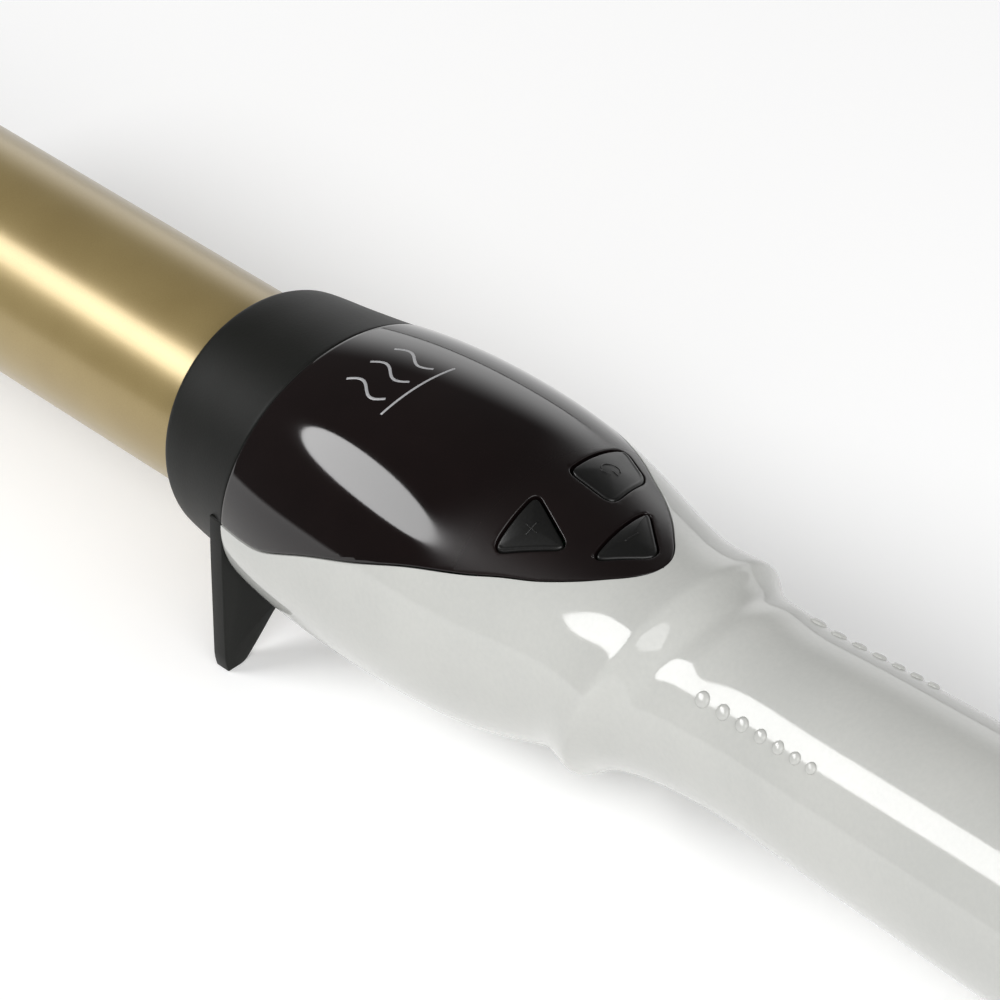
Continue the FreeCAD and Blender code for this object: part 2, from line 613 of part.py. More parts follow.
def build_swivel():
    """The rear cap, the turning gland, its slip rings and the contacts that rub on them."""
    tail = size("tail_station")
    wall = size("shell_wall")
    radius = size("gland_radius")
    gap = size("running_gap")
    flange_front = size("gland_flange_front")
    flange_rear = flange_front + size("gland_flange_thickness")
    flange = size("gland_flange_radius")
    neck = size("gland_neck_radius")
    bore = size("gland_bore")
    rear = size("gland_rear")
    cap_rear = size("cap_rear")
    tail_radius = size("tail_radius")
    spigot = tail_radius - wall - 0.6
    rim = tail_radius - 0.3

    arc = [(tail + 0.1 + 6.0 * math.sin(math.radians(step)), rim - 6.0 * (1 - math.cos(math.radians(step))))
           for step in (0, 22, 45, 68, 90)]
    keep(revolved("rear_cap_body", [
        (flange_rear + 0.3, radius + gap), (cap_rear, radius + gap), (cap_rear, rim - 7.5), *reversed(arc),
        (tail + 0.1, spigot), (flange_front - 8.0, spigot), (flange_front - 8.0, flange + 1.0),
        (flange_rear + 0.3, flange + 1.0),
    ]), "rear_cap")
    keep(revolved("gland_body", [
        (size("gland_front"), bore), (rear, bore), (rear, radius - 1.8), (rear - 1.8, radius),
        (flange_rear, radius), (flange_rear, flange), (flange_front, flange), (flange_front, neck),
        (size("gland_front"), neck),
    ]), "swivel_gland")

    width = size("ring_width")
    starts = (size("gland_front") + 2.0, size("gland_front") + 8.0)
    rings = []
    for number, start in enumerate(starts):
        disc = rod(f"slip_ring_{number}", "sizes.ring_radius", "sizes.ring_width", str(start))
        eye = rod(f"slip_ring_eye_{number}", "sizes.gland_neck_radius", "sizes.ring_width + 2",
                  str(start - 1.0))
        rings.append(cut(f"slip_ring_cut_{number}", disc, eye))
    keep(fuse("slip_ring_set", *rings), "slip_rings")

    keep(revolved("retainer_body", [
        (flange_front - 2.3, neck + 0.3), (flange_front - 0.3, neck + 0.3),
        (flange_front - 0.3, flange + 0.9), (flange_front - 2.3, flange + 0.9),
    ]), "swivel_retainer")

    holder_front = size("gland_front") - 1.0
    post_reach = 9.38
    keep(revolved("holder_body", [
        (holder_front, 9.4), (holder_front + 13.4, 9.4), (holder_front + 13.4, 11.8), (holder_front, 11.8),
    ]), "contact_holder")
    brushes = []
    for number, start in enumerate(starts):
        for side in (-1, 1):
            leaf = feature("Part::Box", f"brush_{number}_{side + 1}", Length=width - 0.6, Width=4.0,
                           Height=0.4)
            level = size("ring_radius") + 0.12
            leaf.Placement = Placement(Vector(start + 0.3, -2.0, level if side > 0 else -level - 0.4),
                                       Rotation())
            post = feature("Part::Box", f"brush_post_{number}_{side + 1}", Length=width - 0.6, Width=1.2)
            post.Height = post_reach - level
            low = level if side > 0 else -post_reach
            post.Placement = Placement(Vector(start + 0.3, -0.6, low), Rotation())
            brushes.append(fuse(f"brush_whole_{number}_{side + 1}", leaf, post))
    keep(fuse("brush_set", *brushes), "brush_contacts")


def build_leads():
    """The inner wires: from the sliding contacts to the board, and from the board to the heater."""
    radius = size("wire_radius")
    under = size("board_top") - size("board_thickness")
    mains = []
    heater = []
    for side in (-1, 1):
        mains.append(wire_tube(f"mains_wire_{side + 1}", [
            Vector(171.0, side * 10.6, 0), Vector(158.0, side * 10.0, 0), Vector(118.0, side * 6.0, -1.0),
            Vector(100.0, side * 6.0, under - 4.0), Vector(89.0, side * 6.0, under - 3.0)], radius, 8.0))
        heater.append(wire_tube(f"heater_wire_{side + 1}", [
            Vector(-21.8, side * 5.0, 0), Vector(-10.0, side * 5.0, 0), Vector(4.0, side * 5.0, 3.0),
            Vector(20.0, side * 5.0, 3.0), Vector(34.0, side * 3.6, 1.0), Vector(46.0, side * 3.6, 2.4)],
            radius, 8.0))
    keep(fuse("mains_wire_set", *mains), "mains_leads")
    keep(fuse("heater_wire_set", *heater), "heater_leads")


def place_at_rest():
    """Tip every piece so that the feet and the tail's rim stand on Z = 0, centred on the box."""
    turn = Rotation(Vector(0, 1, 0), rest_angle())
    foot = turn.multVec(Vector(size("foot_station"), 0, -size("foot_depth")))
    lift = Vector(0, 0, -foot.z)
    rest = Placement(lift, turn)
    for item in PIECES:
        own = Placement(item.Placement)
        for axis in "xyz":
            item.setExpression(f"Placement.Base.{axis}", None)
        item.Placement = rest.multiply(own)
    DOC.recompute()
    box = FreeCAD.BoundBox()
    for item in PIECES:
        box.add(item.Shape.optimalBoundingBox(False, False))
    middle = Vector(-(box.XMin + box.XMax) / 2, -(box.YMin + box.YMax) / 2, 0)
    for item in PIECES:
        item.Placement = Placement(middle, Rotation()).multiply(item.Placement)
    DOC.recompute()
    print(f"rest angle {rest_angle():.4f} lift {lift.z:.4f} shift {middle.x:.4f} {middle.y:.4f}")
    print(f"box {box.XLength:.2f} {box.YLength:.2f} {box.ZLength:.2f} lowest {box.ZMin:.4f}")


def check_and_export():
    """Refuse a failed object or a bad shape, then write one file for each piece."""
    for item in DOC.Objects:
        bad = [state for state in item.State if state in ("Invalid", "Error")]
        if bad:
            raise RuntimeError(f"{item.Label} failed: {bad}")
    os.makedirs("parts", exist_ok=True)
    for item in PIECES:
        shape = item.Shape
        if shape.isNull() or not shape.isValid() or not shape.Solids:
            raise RuntimeError(f"{item.Label} has no valid solid")
        shape.exportStep(f"parts/{item.Label}.step")
        print(f"{item.Label}: {len(shape.Solids)} solid(s), {shape.Volume / 1000:.3f} cm3")


build_barrel()
build_heater()
build_collar()
build_handle()
build_cover_and_buttons()
build_board()
build_swivel()
build_leads()
DOC.recompute()
place_at_rest()
check_and_export()
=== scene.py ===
"""The looks of a curling wand: its coated barrel, heat collar, gloss cover, pearl handle and swivel.

Shapes are worked out in the wand's own frame, in millimetres: X runs along the axis from the collar's
front plane towards the cord, Z rises through the control cover and Y crosses the wand. RestFrame turns
them into the row frame in metres.
"""
import json
import logging
import math
from dataclasses import dataclass, field
from enum import Enum

import bmesh
import bpy
import numpy as np
from mathutils import Matrix, Vector
from mathutils.geometry import delaunay_2d_cdt


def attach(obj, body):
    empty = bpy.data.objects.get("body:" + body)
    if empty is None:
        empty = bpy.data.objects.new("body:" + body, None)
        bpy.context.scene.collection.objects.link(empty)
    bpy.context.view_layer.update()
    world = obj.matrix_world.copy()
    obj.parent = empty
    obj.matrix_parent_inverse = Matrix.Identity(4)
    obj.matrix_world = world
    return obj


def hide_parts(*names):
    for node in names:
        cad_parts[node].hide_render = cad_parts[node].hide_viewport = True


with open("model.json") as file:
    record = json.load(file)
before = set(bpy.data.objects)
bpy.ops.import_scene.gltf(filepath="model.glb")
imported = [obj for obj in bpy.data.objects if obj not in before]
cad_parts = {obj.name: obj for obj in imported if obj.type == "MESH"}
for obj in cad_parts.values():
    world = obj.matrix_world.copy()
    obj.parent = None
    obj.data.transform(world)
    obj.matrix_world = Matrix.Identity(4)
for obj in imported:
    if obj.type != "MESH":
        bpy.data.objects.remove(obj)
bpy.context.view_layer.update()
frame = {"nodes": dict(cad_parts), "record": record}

LOG = logging.getLogger("curling_wand")
TAU = 2.0 * math.pi
LOCATE_STEPS = 24


# ---------------------------------------------------------------- frames and curves


class RestFrame:
    """The wand's own frame, read from the swivel's axis and the buttons' travel."""

    SWIVEL_STATION = 196.5

    def __init__(self, joints: list[dict]) -> None:
        """Read the axes.

        Args:
            joints: the record's joints.
        """
        by_name = {joint["name"]: joint for joint in joints}
        swivel = by_name["cord_swivel"]
        self.along = np.array(swivel["axis"], float)
        self.up = -np.array(by_name["power_button_press"]["axis"], float)
        self.across = np.cross(self.up, self.along)
        self.origin = np.array(swivel["pos_m"], float) - self.along * self.SWIVEL_STATION / 1000.0

    def place(self, points: np.ndarray) -> np.ndarray:
        """Turn wand millimetres into row metres.

        Args:
            points: an array whose last axis is x, y, z in the wand's frame.

        Returns:
            The same array in the row frame.
        """
        turn = np.stack([self.along, self.across, self.up])
        return self.origin + (points / 1000.0) @ turn

    def direction(self, vector: tuple[float, float, float]) -> np.ndarray:
        """A wand direction as a row direction."""
        return np.array(vector, float) @ np.stack([self.along, self.across, self.up])


class Curve:
    """A natural cubic spline through a few stations."""

    def __init__(self, knots: tuple[tuple[float, float], ...]) -> None:
        """Solve for the second derivatives.

        Args:
            knots: pairs of station and value.
        """
        self.x, self.y = np.array(knots, float).T
        step = np.diff(self.x)
        count = len(self.x)
        matrix = np.eye(count)
        rhs = np.zeros(count)
        inner = np.arange(1, count - 1)
        matrix[inner, inner - 1] = step[:-1]
        matrix[inner, inner] = 2.0 * (step[:-1] + step[1:])
        matrix[inner, inner + 1] = step[1:]
        rhs[1:-1] = 6.0 * (np.diff(self.y)[1:] / step[1:] - np.diff(self.y)[:-1] / step[:-1])
        self.bend = np.linalg.solve(matrix, rhs)

    def __call__(self, x: np.ndarray) -> np.ndarray:
        """Look the spline up; it stays constant beyond its ends.

        Args:
            x: stations.

        Returns:
            The values there.
        """
        x = np.clip(x, self.x[0], self.x[-1])
        i = np.clip(np.searchsorted(self.x, x) - 1, 0, len(self.x) - 2)
        step = self.x[i + 1] - self.x[i]
        a = (self.x[i + 1] - x) / step
        b = (x - self.x[i]) / step
        bow = (a ** 3 - a) * self.bend[i] + (b ** 3 - b) * self.bend[i + 1]
        return a * self.y[i] + b * self.y[i + 1] + bow * step ** 2 / 6.0


@dataclass(frozen=True)
class Skin:
    """The handle's outside: slanted rings strung along the axis.

    A point is (u + lean(u) cos t, -radius(u) sin t, radius(u) cos t - drop(u)), where u is the station
    and t the turn from the top towards -Y. The flare's crest is the ring at about station 90.
    """

    radius: Curve = field(default_factory=lambda: Curve((
        (12.0, 21.4), (16.5, 22.25), (24.0, 23.25), (33.0, 23.85), (44.0, 24.0), (54.0, 23.6),
        (63.0, 22.6), (71.0, 21.0), (76.0, 19.8), (80.0, 18.95), (83.5, 18.5), (87.0, 18.75), (89.3, 19.1),
        (90.5, 19.05), (91.3, 18.6), (92.3, 17.9), (93.5, 17.15), (95.3, 16.35), (98.0, 15.75),
        (101.5, 15.3), (106.0, 14.95), (112.0, 14.65), (125.0, 14.96), (145.0, 15.6), (160.0, 16.1),
        (178.0, 16.75), (197.0, 17.4))))
    lean: Curve = field(default_factory=lambda: Curve((
        (12.0, 4.6), (16.5, 5.15), (24.0, 5.6), (36.0, 5.0), (50.0, 4.2), (62.0, 3.4), (70.0, 3.7),
        (76.0, 5.0), (82.0, 6.9), (87.0, 8.6), (91.5, 9.6), (96.0, 8.8), (101.0, 6.3), (107.0, 2.6),
        (114.0, 0.0), (197.0, 0.0))))
    drop: Curve = field(default_factory=lambda: Curve((
        (12.0, 0.1), (36.0, 0.05), (55.0, 0.35), (68.0, 0.85), (79.0, 1.15), (85.0, 1.4), (89.0, 1.85),
        (92.0, 2.05), (95.5, 1.6), (100.0, 0.7), (106.0, 0.05), (112.0, 0.0), (197.0, 0.0))))

    def point(self, station: np.ndarray, turn: np.ndarray, sink: float | np.ndarray = 0.0) -> np.ndarray:
        """Points of the skin.

        Args:
            station: the rings' stations.
            turn: the turns, in radians.
            sink: how far the points lie below the skin.

        Returns:
            An array whose last axis is x, y, z.
        """
        radius = self.radius(station)
        share = (radius - sink) / radius
        x = station + self.lean(station) * share * np.cos(turn)
        y = -(radius - sink) * np.sin(turn)
        z = (radius - sink) * np.cos(turn) - self.drop(station)
        return np.stack(np.broadcast_arrays(x, y, z), axis=-1)

    def locate(self, x: np.ndarray, y: np.ndarray) -> tuple[np.ndarray, np.ndarray]:
        """Find points of the upper skin from above, by repeated correction.

        Args:
            x: their X.
            y: their Y.

        Returns:
            Their stations and turns.
        """
        station = np.array(x, float)
        turn = np.zeros_like(station)
        for _ in range(LOCATE_STEPS):
            turn = np.arcsin(np.clip(-y / self.radius(station), -1.0, 1.0))
            station = 0.5 * station + 0.5 * (x - self.lean(station) * np.cos(turn))
        return station, turn

    def normal(self, station: np.ndarray, turn: np.ndarray) -> np.ndarray:
        """Outward unit normals: the cross product of the skin's two central differences.

        Args:
            station: the points' stations.
            turn: their turns.

        Returns:
            An array whose last axis is the normal.
        """
        step = 0.05
        along = self.point(station + step, turn) - self.point(station - step, turn)
        around = self.point(station, turn + step / 20) - self.point(station, turn - step / 20)
        normal = np.cross(around, along)
        return normal / np.linalg.norm(normal, axis=-1, keepdims=True)


@dataclass(frozen=True)
class Seam:
    """The shield-shaped seam between cover and handle, alike on both sides of the top.

    Its half turn is a spline in the root of the distance from the apex, which rounds the apex off.
    """

    front: float = 16.55
    apex: float = 85.13
    half_turn: Curve = field(default_factory=lambda: Curve((
        (0.0, 0.0), (0.47, 4.5), (0.99, 9.5), (1.45, 14.3), (1.76, 17.8), (2.25, 24.3), (2.7, 30.2),
        (3.22, 36.4), (3.71, 41.1), (4.18, 46.1), (5.35, 56.4), (6.2, 65.6), (6.95, 73.9), (7.36, 80.0),
        (7.67, 84.2), (7.88, 85.4), (8.28, 86.3))))

    def turn(self, station: np.ndarray) -> np.ndarray:
        """The half turn of the seam at each station, in radians."""
        return np.radians(self.half_turn(np.sqrt(np.maximum(self.apex - station, 0.0))))


REST = RestFrame(frame["record"]["behaviour"]["joints"])
SKIN = Skin()
SEAM = Seam()


# ---------------------------------------------------------------- meshes


def new_piece(name: str, points: np.ndarray, faces: list | np.ndarray) -> bpy.types.Object:
    """Make an object from wand-frame points and faces.

    Args:
        name: the piece's name.
        points: N by 3 array in wand millimetres.
        faces: lists of point numbers, or an array of them.

    Returns:
        The smooth-shaded object, at the origin.
    """
    mesh = bpy.data.meshes.new(name)
    mesh.from_pydata(REST.place(points).tolist(), [],
                     faces.tolist() if isinstance(faces, np.ndarray) else faces)
    mesh.validate()
    mesh.polygons.foreach_set("use_smooth", np.ones(len(mesh.polygons), bool))
    mesh.update()
    piece = bpy.data.objects.new(name, mesh)
    bpy.context.scene.collection.objects.link(piece)
    return piece


def grid_faces(rows: int, columns: int, wrap_rows: bool = False,
               wrap_columns: bool = False) -> np.ndarray:
    """Quads of a grid of points numbered row by row.

    Args:
        rows: number of rows of points.
        columns: number of points in a row.
        wrap_rows: join the last row to the first.
        wrap_columns: join the last column to the first.

    Returns:
        An array of quads.
    """
    r = np.arange(rows if wrap_rows else rows - 1)[:, None]
    c = np.arange(columns if wrap_columns else columns - 1)[None, :]
    r_next = (r + 1) % rows
    c_next = (c + 1) % columns
    quads = np.stack(np.broadcast_arrays(r * columns + c, r * columns + c_next,
                                         r_next * columns + c_next, r_next * columns + c), axis=-1)
    return quads.reshape(-1, 4)


def weld(piece: bpy.types.Object, distance: float = 1e-5, outward: bool = True) -> None:
    """Merge doubled points, drop empty faces and turn the faces outwards.

    Args:
        piece: the piece.
        distance: points closer than this, in metres, are merged.
        outward: turn the faces of a closed piece outwards.
    """
    work = bmesh.new()
    work.from_mesh(piece.data)
    bmesh.ops.remove_doubles(work, verts=work.verts, dist=distance)
    bmesh.ops.dissolve_degenerate(work, edges=work.edges, dist=distance / 4)
    if outward:
        bmesh.ops.recalc_face_normals(work, faces=work.faces)
    work.to_mesh(piece.data)
    work.free()
    piece.data.polygons.foreach_set("use_smooth", np.ones(len(piece.data.polygons), bool))
    piece.data.update()


def lathe(name: str, profile: np.ndarray, around: int = 160) -> bpy.types.Object:
    """A closed outline of station and radius, carried round the wand's axis.

    A point is (x, -r sin t, r cos t). Outline points on the axis close into a pole.

    Args:
        name: the piece's name.
        profile: N by 2 array of station and radius.
        around: number of points round the axis.

    Returns:
        The welded piece.
    """
    turn = np.arange(around) * TAU / around
    x = np.broadcast_to(profile[:, :1], (len(profile), around))
    points = np.stack([x, -profile[:, 1:] * np.sin(turn), profile[:, 1:] * np.cos(turn)], axis=-1)
    piece = new_piece(name, points.reshape(-1, 3), grid_faces(len(profile), around, True, True))
    weld(piece)
    return piece


def rounded(corners: tuple[tuple[float, float, float], ...], steps: int = 6) -> np.ndarray:
    """A closed outline whose corners are rounded.

    Each corner (x, y, r) is replaced by a quadratic bend that starts and ends r before and after it.

    Args:
        corners: corner points with their rounding.
        steps: points in each bend.

    Returns:
        N by 2 array of points.
    """
    spots = np.array(corners, float)
    point = spots[:, :2]
    reach = spots[:, 2:]
    last = np.roll(point, 1, axis=0) - point
    after = np.roll(point, -1, axis=0) - point
    start = point + last / np.linalg.norm(last, axis=1, keepdims=True) * reach
    end = point + after / np.linalg.norm(after, axis=1, keepdims=True) * reach
    share = np.linspace(0.0, 1.0, steps)[None, :, None]
    bend = (1 - share) ** 2 * start[:, None] + 2 * share * (1 - share) * point[:, None] \
        + share ** 2 * end[:, None]
    kept = np.ones(bend.shape[:2], bool)
    kept[reach[:, 0] == 0.0, 1:] = False
    return bend[kept]


def resample(outline: np.ndarray, count: int) -> np.ndarray:
    """Space the points of a closed outline evenly along its length.

    Args:
        outline: N by 2 array.
        count: number of points wanted.

    Returns:
        count by 2 array.
    """
    closed = np.concatenate([outline, outline[:1]])
    run = np.concatenate([[0.0], np.cumsum(np.linalg.norm(np.diff(closed, axis=0), axis=1))])
    spots = np.linspace(0.0, run[-1], count, endpoint=False)
    return np.stack([np.interp(spots, run, closed[:, k]) for k in range(closed.shape[1])], axis=1)


def offset(outline: np.ndarray, reach: float) -> np.ndarray:
    """Move a counter-clockwise outline outwards along its own normals.

    Args:
        outline: N by 2 array.
        reach: how far; negative moves it inwards.

    Returns:
        The moved outline.
    """
    side = np.roll(outline, -1, axis=0) - np.roll(outline, 1, axis=0)
    side /= np.linalg.norm(side, axis=1, keepdims=True)
    return outline + reach * np.stack([side[:, 1], -side[:, 0]], axis=1)


def inside(points: np.ndarray, outline: np.ndarray) -> np.ndarray:
    """Tell which points lie inside a closed outline, by counting crossings of a ray.

    Args:
        points: N by 2 array.
        outline: M by 2 array.

    Returns:
        N truth values.
    """
    x, y = points[:, :1], points[:, 1:]
    x1, y1 = outline[:, 0], outline[:, 1]
    x2, y2 = np.roll(x1, -1), np.roll(y1, -1)
    spans = (y1 > y) != (y2 > y)
    rise = np.where(y2 == y1, 1e-12, y2 - y1)
    crossing = x < (x2 - x1) * (y - y1) / rise + x1
    return (spans & crossing).sum(axis=1) % 2 == 1


def thicken(piece: bpy.types.Object, wall: float, edge: float, segments: int = 2) -> None:
    """Give an open skin a wall on its inner side and round the edges that the wall makes.

    Args:
        piece: the skin.
        wall: the wall's thickness in millimetres.
        edge: the edges' rounding in millimetres.
        segments: faces across the rounding.
    """
    solid = piece.modifiers.new("wall", "SOLIDIFY")
    solid.thickness = wall / 1000.0
    solid.offset = -1.0
    solid.use_even_offset = True
    solid.use_quality_normals = True
    soften(piece, edge, segments, 50.0)


def soften(piece: bpy.types.Object, width: float, segments: int = 2, angle: float = 35.0) -> None:
    """Round the sharp edges of a piece.

    Args:
        piece: the piece.
        width: the rounding in millimetres.
        segments: faces across the rounding.
        angle: edges sharper than this, in degrees, are rounded.
    """
    bevel = piece.modifiers.new("soft_edges", "BEVEL")
    bevel.width = width / 1000.0
    bevel.segments = segments
    bevel.limit_method = "ANGLE"
    bevel.angle_limit = math.radians(angle)
    bevel.use_clamp_overlap = True
    bevel.harden_normals = False


def tube(points: np.ndarray, radius: float, around: int = 10) -> tuple[np.ndarray, np.ndarray]:
    """A closed-ended round bar along a path, as points and quads.

    A ring is the path's point plus radius (cos a n + sin a b), where n and b are square to the path; the
    two end rings shrink to nothing.

    Args:
        points: N by 3 path in wand millimetres.
        radius: the bar's radius.
        around: points in each ring.

    Returns:
        The points and the quads.
    """
    heading = np.gradient(points, axis=0)
    heading /= np.linalg.norm(heading, axis=1, keepdims=True)
    outward = np.array([0.0, 0.0, 1.0]) - heading * heading[:, 2:]
    outward /= np.linalg.norm(outward, axis=1, keepdims=True)
    side = np.cross(heading, outward)
    angle = np.arange(around) * TAU / around
    spine = np.concatenate([points[:1], points, points[-1:]])
    size = np.concatenate([[1e-4], np.full(len(points), radius), [1e-4]])[:, None, None]
    pick = np.concatenate([[0], np.arange(len(points)), [len(points) - 1]])
    rings = spine[:, None] + size * (np.cos(angle)[None, :, None] * outward[pick][:, None]
                                     + np.sin(angle)[None, :, None] * side[pick][:, None])
    return rings.reshape(-1, 3), grid_faces(len(spine), around, False, True)


def join_shells(name: str, shells: list[tuple[np.ndarray, np.ndarray]]) -> bpy.types.Object:
    """One object from several closed shells.

    Args:
        name: the piece's name.
        shells: pairs of points and quads.

    Returns:
        The welded piece.
    """
    firsts = np.cumsum([0] + [len(points) for points, _ in shells[:-1]])
    faces = np.concatenate([quads + first for (_, quads), first in zip(shells, firsts)])
    piece = new_piece(name, np.concatenate([points for points, _ in shells]), faces)
    weld(piece, 1e-6)
    return piece


# ---------------------------------------------------------------- shader maths


class Signal:
    """A shader socket that takes part in Python arithmetic."""

    def __init__(self, nodes: "Nodes", socket: bpy.types.NodeSocket) -> None:
        """Wrap a socket of a node tree."""
        self.nodes = nodes
        self.socket = socket

    def _math(self, operation: str, *values: "Signal | float") -> "Signal":
        """One Math node on the values."""
        return self.nodes.signal("ShaderNodeMath", {"operation": operation}, dict(enumerate(values)))

    def __add__(self, other: "Signal | float") -> "Signal":
        """This plus other."""
        return self._math("ADD", self, other)

    def __radd__(self, other: float) -> "Signal":
        """Other plus this."""
        return self._math("ADD", other, self)

    def __sub__(self, other: "Signal | float") -> "Signal":
        """This minus other."""
        return self._math("SUBTRACT", self, other)

    def __mul__(self, other: "Signal | float") -> "Signal":
        """This times other."""
        return self._math("MULTIPLY", self, other)

    def __rmul__(self, other: float) -> "Signal":
        """Other times this."""
        return self._math("MULTIPLY", other, self)

    def clamp(self) -> "Signal":
        """This held between 0 and 1."""
        return self.nodes.signal("ShaderNodeClamp", {}, {"Value": self})

    def ramp(self, low: float, high: float, top: float = 1.0) -> "Signal":
        """A smooth rise from 0 at low to top at high."""
        return self.nodes.signal("ShaderNodeMapRange", {"interpolation_type": "SMOOTHSTEP"},
                                 {"Value": self, "From Min": low, "From Max": high, "To Max": top})


class Nodes:
    """Adds nodes to a tree."""

    def __init__(self, tree: bpy.types.NodeTree) -> None:
        """Work on a tree."""
        self.tree = tree

    def node(self, kind: str, settings: dict, sockets: dict) -> bpy.types.Node:
        """Make a node.

        Args:
            kind: the node's type.
            settings: attributes, which are set first.
            sockets: values, signals or sockets by input name or number.

        Returns:
            The node.
        """
        made = self.tree.nodes.new(kind)
        for key, value in settings.items():
            setattr(made, key, value)
        for key, value in sockets.items():
            self.feed(made.inputs[key], value)
        return made

    def signal(self, kind: str, settings: dict, sockets: dict, output: str | int = 0) -> Signal:
        """Make a node and take one of its outputs as a signal."""
        return Signal(self, self.node(kind, settings, sockets).outputs[output])

    def feed(self, target: bpy.types.NodeSocket, value: object) -> None:
        """Link a signal or socket to an input, or set its value.

        Args:
            target: the input.
            value: a signal, a socket or a plain value.
        """
        if isinstance(value, Signal):
            value = value.socket
        if isinstance(value, bpy.types.NodeSocket):
            self.tree.links.new(value, target)
        else:
            target.default_value = value


class NodeKit(Nodes):
    """Builds one material's node tree."""

    def __init__(self, name: str) -> None:
        """Start an empty tree with its shader and output.

        Args:
            name: the material's name.
        """
        self.material = bpy.data.materials.new(name)
        self.material.use_nodes = True
        super().__init__(self.material.node_tree)
        self.tree.nodes.clear()
        self.shader = self.node("ShaderNodeBsdfPrincipled", {}, {})
        self.node("ShaderNodeOutputMaterial", {}, {"Surface": self.shader.outputs[0]})
        self.place = self.node("ShaderNodeTexCoord", {}, {}).outputs["Object"]

    def noise(self, scale: float, detail: float, stretch: tuple[float, float, float] = (1, 1, 1)) -> Signal:
        """Soft noise on Object coordinates.

        Args:
            scale: features per metre.
            detail: how many finer layers are added.
            stretch: factors on the three coordinates.

        Returns:
            The noise, between 0 and 1.
        """
        mapped = self.node("ShaderNodeMapping", {"vector_type": "POINT"},
                           {"Vector": self.place, "Scale": stretch})
        return self.signal("ShaderNodeTexNoise", {},
                           {"Vector": mapped.outputs[0], "Scale": scale, "Detail": detail})

    def cells(self, scale: float) -> Signal:
        """Distance to the nearest of many scattered points; scale counts points per metre."""
        return self.signal("ShaderNodeTexVoronoi", {}, {"Vector": self.place, "Scale": scale}, "Distance")

    def along(self, direction: tuple[float, float, float]) -> Signal:
        """How far a point lies along a row-frame direction, in metres."""
        return self.signal("ShaderNodeVectorMath", {"operation": "DOT_PRODUCT"},
                           {0: self.place, 1: direction}, "Value")

    def blend(self, share: Signal, low: tuple[float, float, float],
              high: tuple[float, float, float]) -> bpy.types.NodeSocket:
        """A colour between two, by the share."""
        made = self.node("ShaderNodeMix", {"data_type": "RGBA"}, {0: share, 6: (*low, 1.0), 7: (*high, 1.0)})
        return made.outputs[2]

    def bump(self, height: Signal, strength: float, distance: float) -> None:
        """Raise the surface's normal by a height, the distance in metres."""
        made = self.node("ShaderNodeBump", {}, {"Height": height, "Strength": strength, "Distance": distance})
        self.feed(self.shader.inputs["Normal"], made.outputs[0])

    def surface(self, **sockets: object) -> bpy.types.Material:
        """Set the shader's sockets.

        Args:
            sockets: values or signals by socket name, with underscores for spaces.

        Returns:
            The material.
        """
        for key, value in sockets.items():
            self.feed(self.shader.inputs[key.replace("_", " ")], value)
        return self.material


@dataclass(frozen=True)
class ChampagneCoat:
    """Satin champagne-gold ceramic coat on a metal barrel, with faint turning marks and sparkle."""

    low: tuple[float, float, float] = (0.305, 0.226, 0.092)
    high: tuple[float, float, float] = (0.350, 0.264, 0.112)

    def build(self) -> bpy.types.Material:
        """Build the material.

        Returns:
            The material.
        """
        kit = NodeKit("champagne_coat")
        cloud = kit.noise(60.0, 3.0)
        turning = kit.noise(900.0, 2.0, (4.0, 0.05, 0.05))
        grain = kit.noise(5200.0, 1.0)
        kit.bump(turning * 0.5 + grain * 0.5, 0.03, 0.00001)
        shade = (cloud * 0.6 + grain * 0.4).ramp(0.3, 0.7)
        return kit.surface(Base_Color=kit.blend(shade, self.low, self.high), Metallic=0.30,
                           Roughness=(0.26 + 0.03 * cloud + 0.02 * turning).clamp(),
                           Coat_Weight=0.1, Coat_Roughness=0.14)


@dataclass(frozen=True)
class Moulding:
    """Moulded plastic with a spark-eroded texture and slight cloudiness."""

    name: str
    low: tuple[float, float, float]
    high: tuple[float, float, float]
    roughness: float
    grain: float
    coat: float = 0.0
    coat_roughness: float = 0.1
    texture: float = 2600.0
    depth: float = 0.00004
    specular: float = 0.5

    def build(self) -> bpy.types.Material:
        """Build the material.

        Returns:
            The material.
        """
        kit = NodeKit(self.name)
        cloud = kit.noise(35.0, 4.0)
        fine = kit.noise(self.texture, 2.0)
        pits = kit.cells(self.texture * 0.8)
        height = fine * 0.6 + pits * 0.4
        kit.bump(height, self.grain, self.depth)
        shade = (cloud * 0.7 + fine * 0.3).ramp(0.32, 0.68)
        gloss = (self.roughness + 0.10 * (cloud - 0.5) + 0.05 * (fine - 0.5)).clamp()
        return kit.surface(Base_Color=kit.blend(shade, self.low, self.high), Roughness=gloss,
                           Specular_IOR_Level=self.specular, Coat_Weight=self.coat,
                           Coat_Roughness=self.coat_roughness)


@dataclass(frozen=True)
class Pearl:
    """Glossy pearl-white plastic: a cloudy base under a clear, slightly wavy top."""

    low: tuple[float, float, float] = (0.495, 0.500, 0.478)
    high: tuple[float, float, float] = (0.550, 0.552, 0.525)

    def build(self) -> bpy.types.Material:
        """Build the material.

        Returns:
            The material.
        """
        kit = NodeKit("pearl_plastic")
        cloud = kit.noise(28.0, 4.0)
        flecks = kit.noise(1400.0, 2.0)
        wave = kit.noise(120.0, 1.0)
        kit.bump(wave * 0.8 + flecks * 0.2, 0.05, 0.00006)
        shade = (cloud * 0.75 + flecks * 0.25).ramp(0.3, 0.7)
        return kit.surface(Base_Color=kit.blend(shade, self.low, self.high),
                           Roughness=(0.085 + 0.04 * (cloud - 0.5)).clamp(), Specular_IOR_Level=0.38)


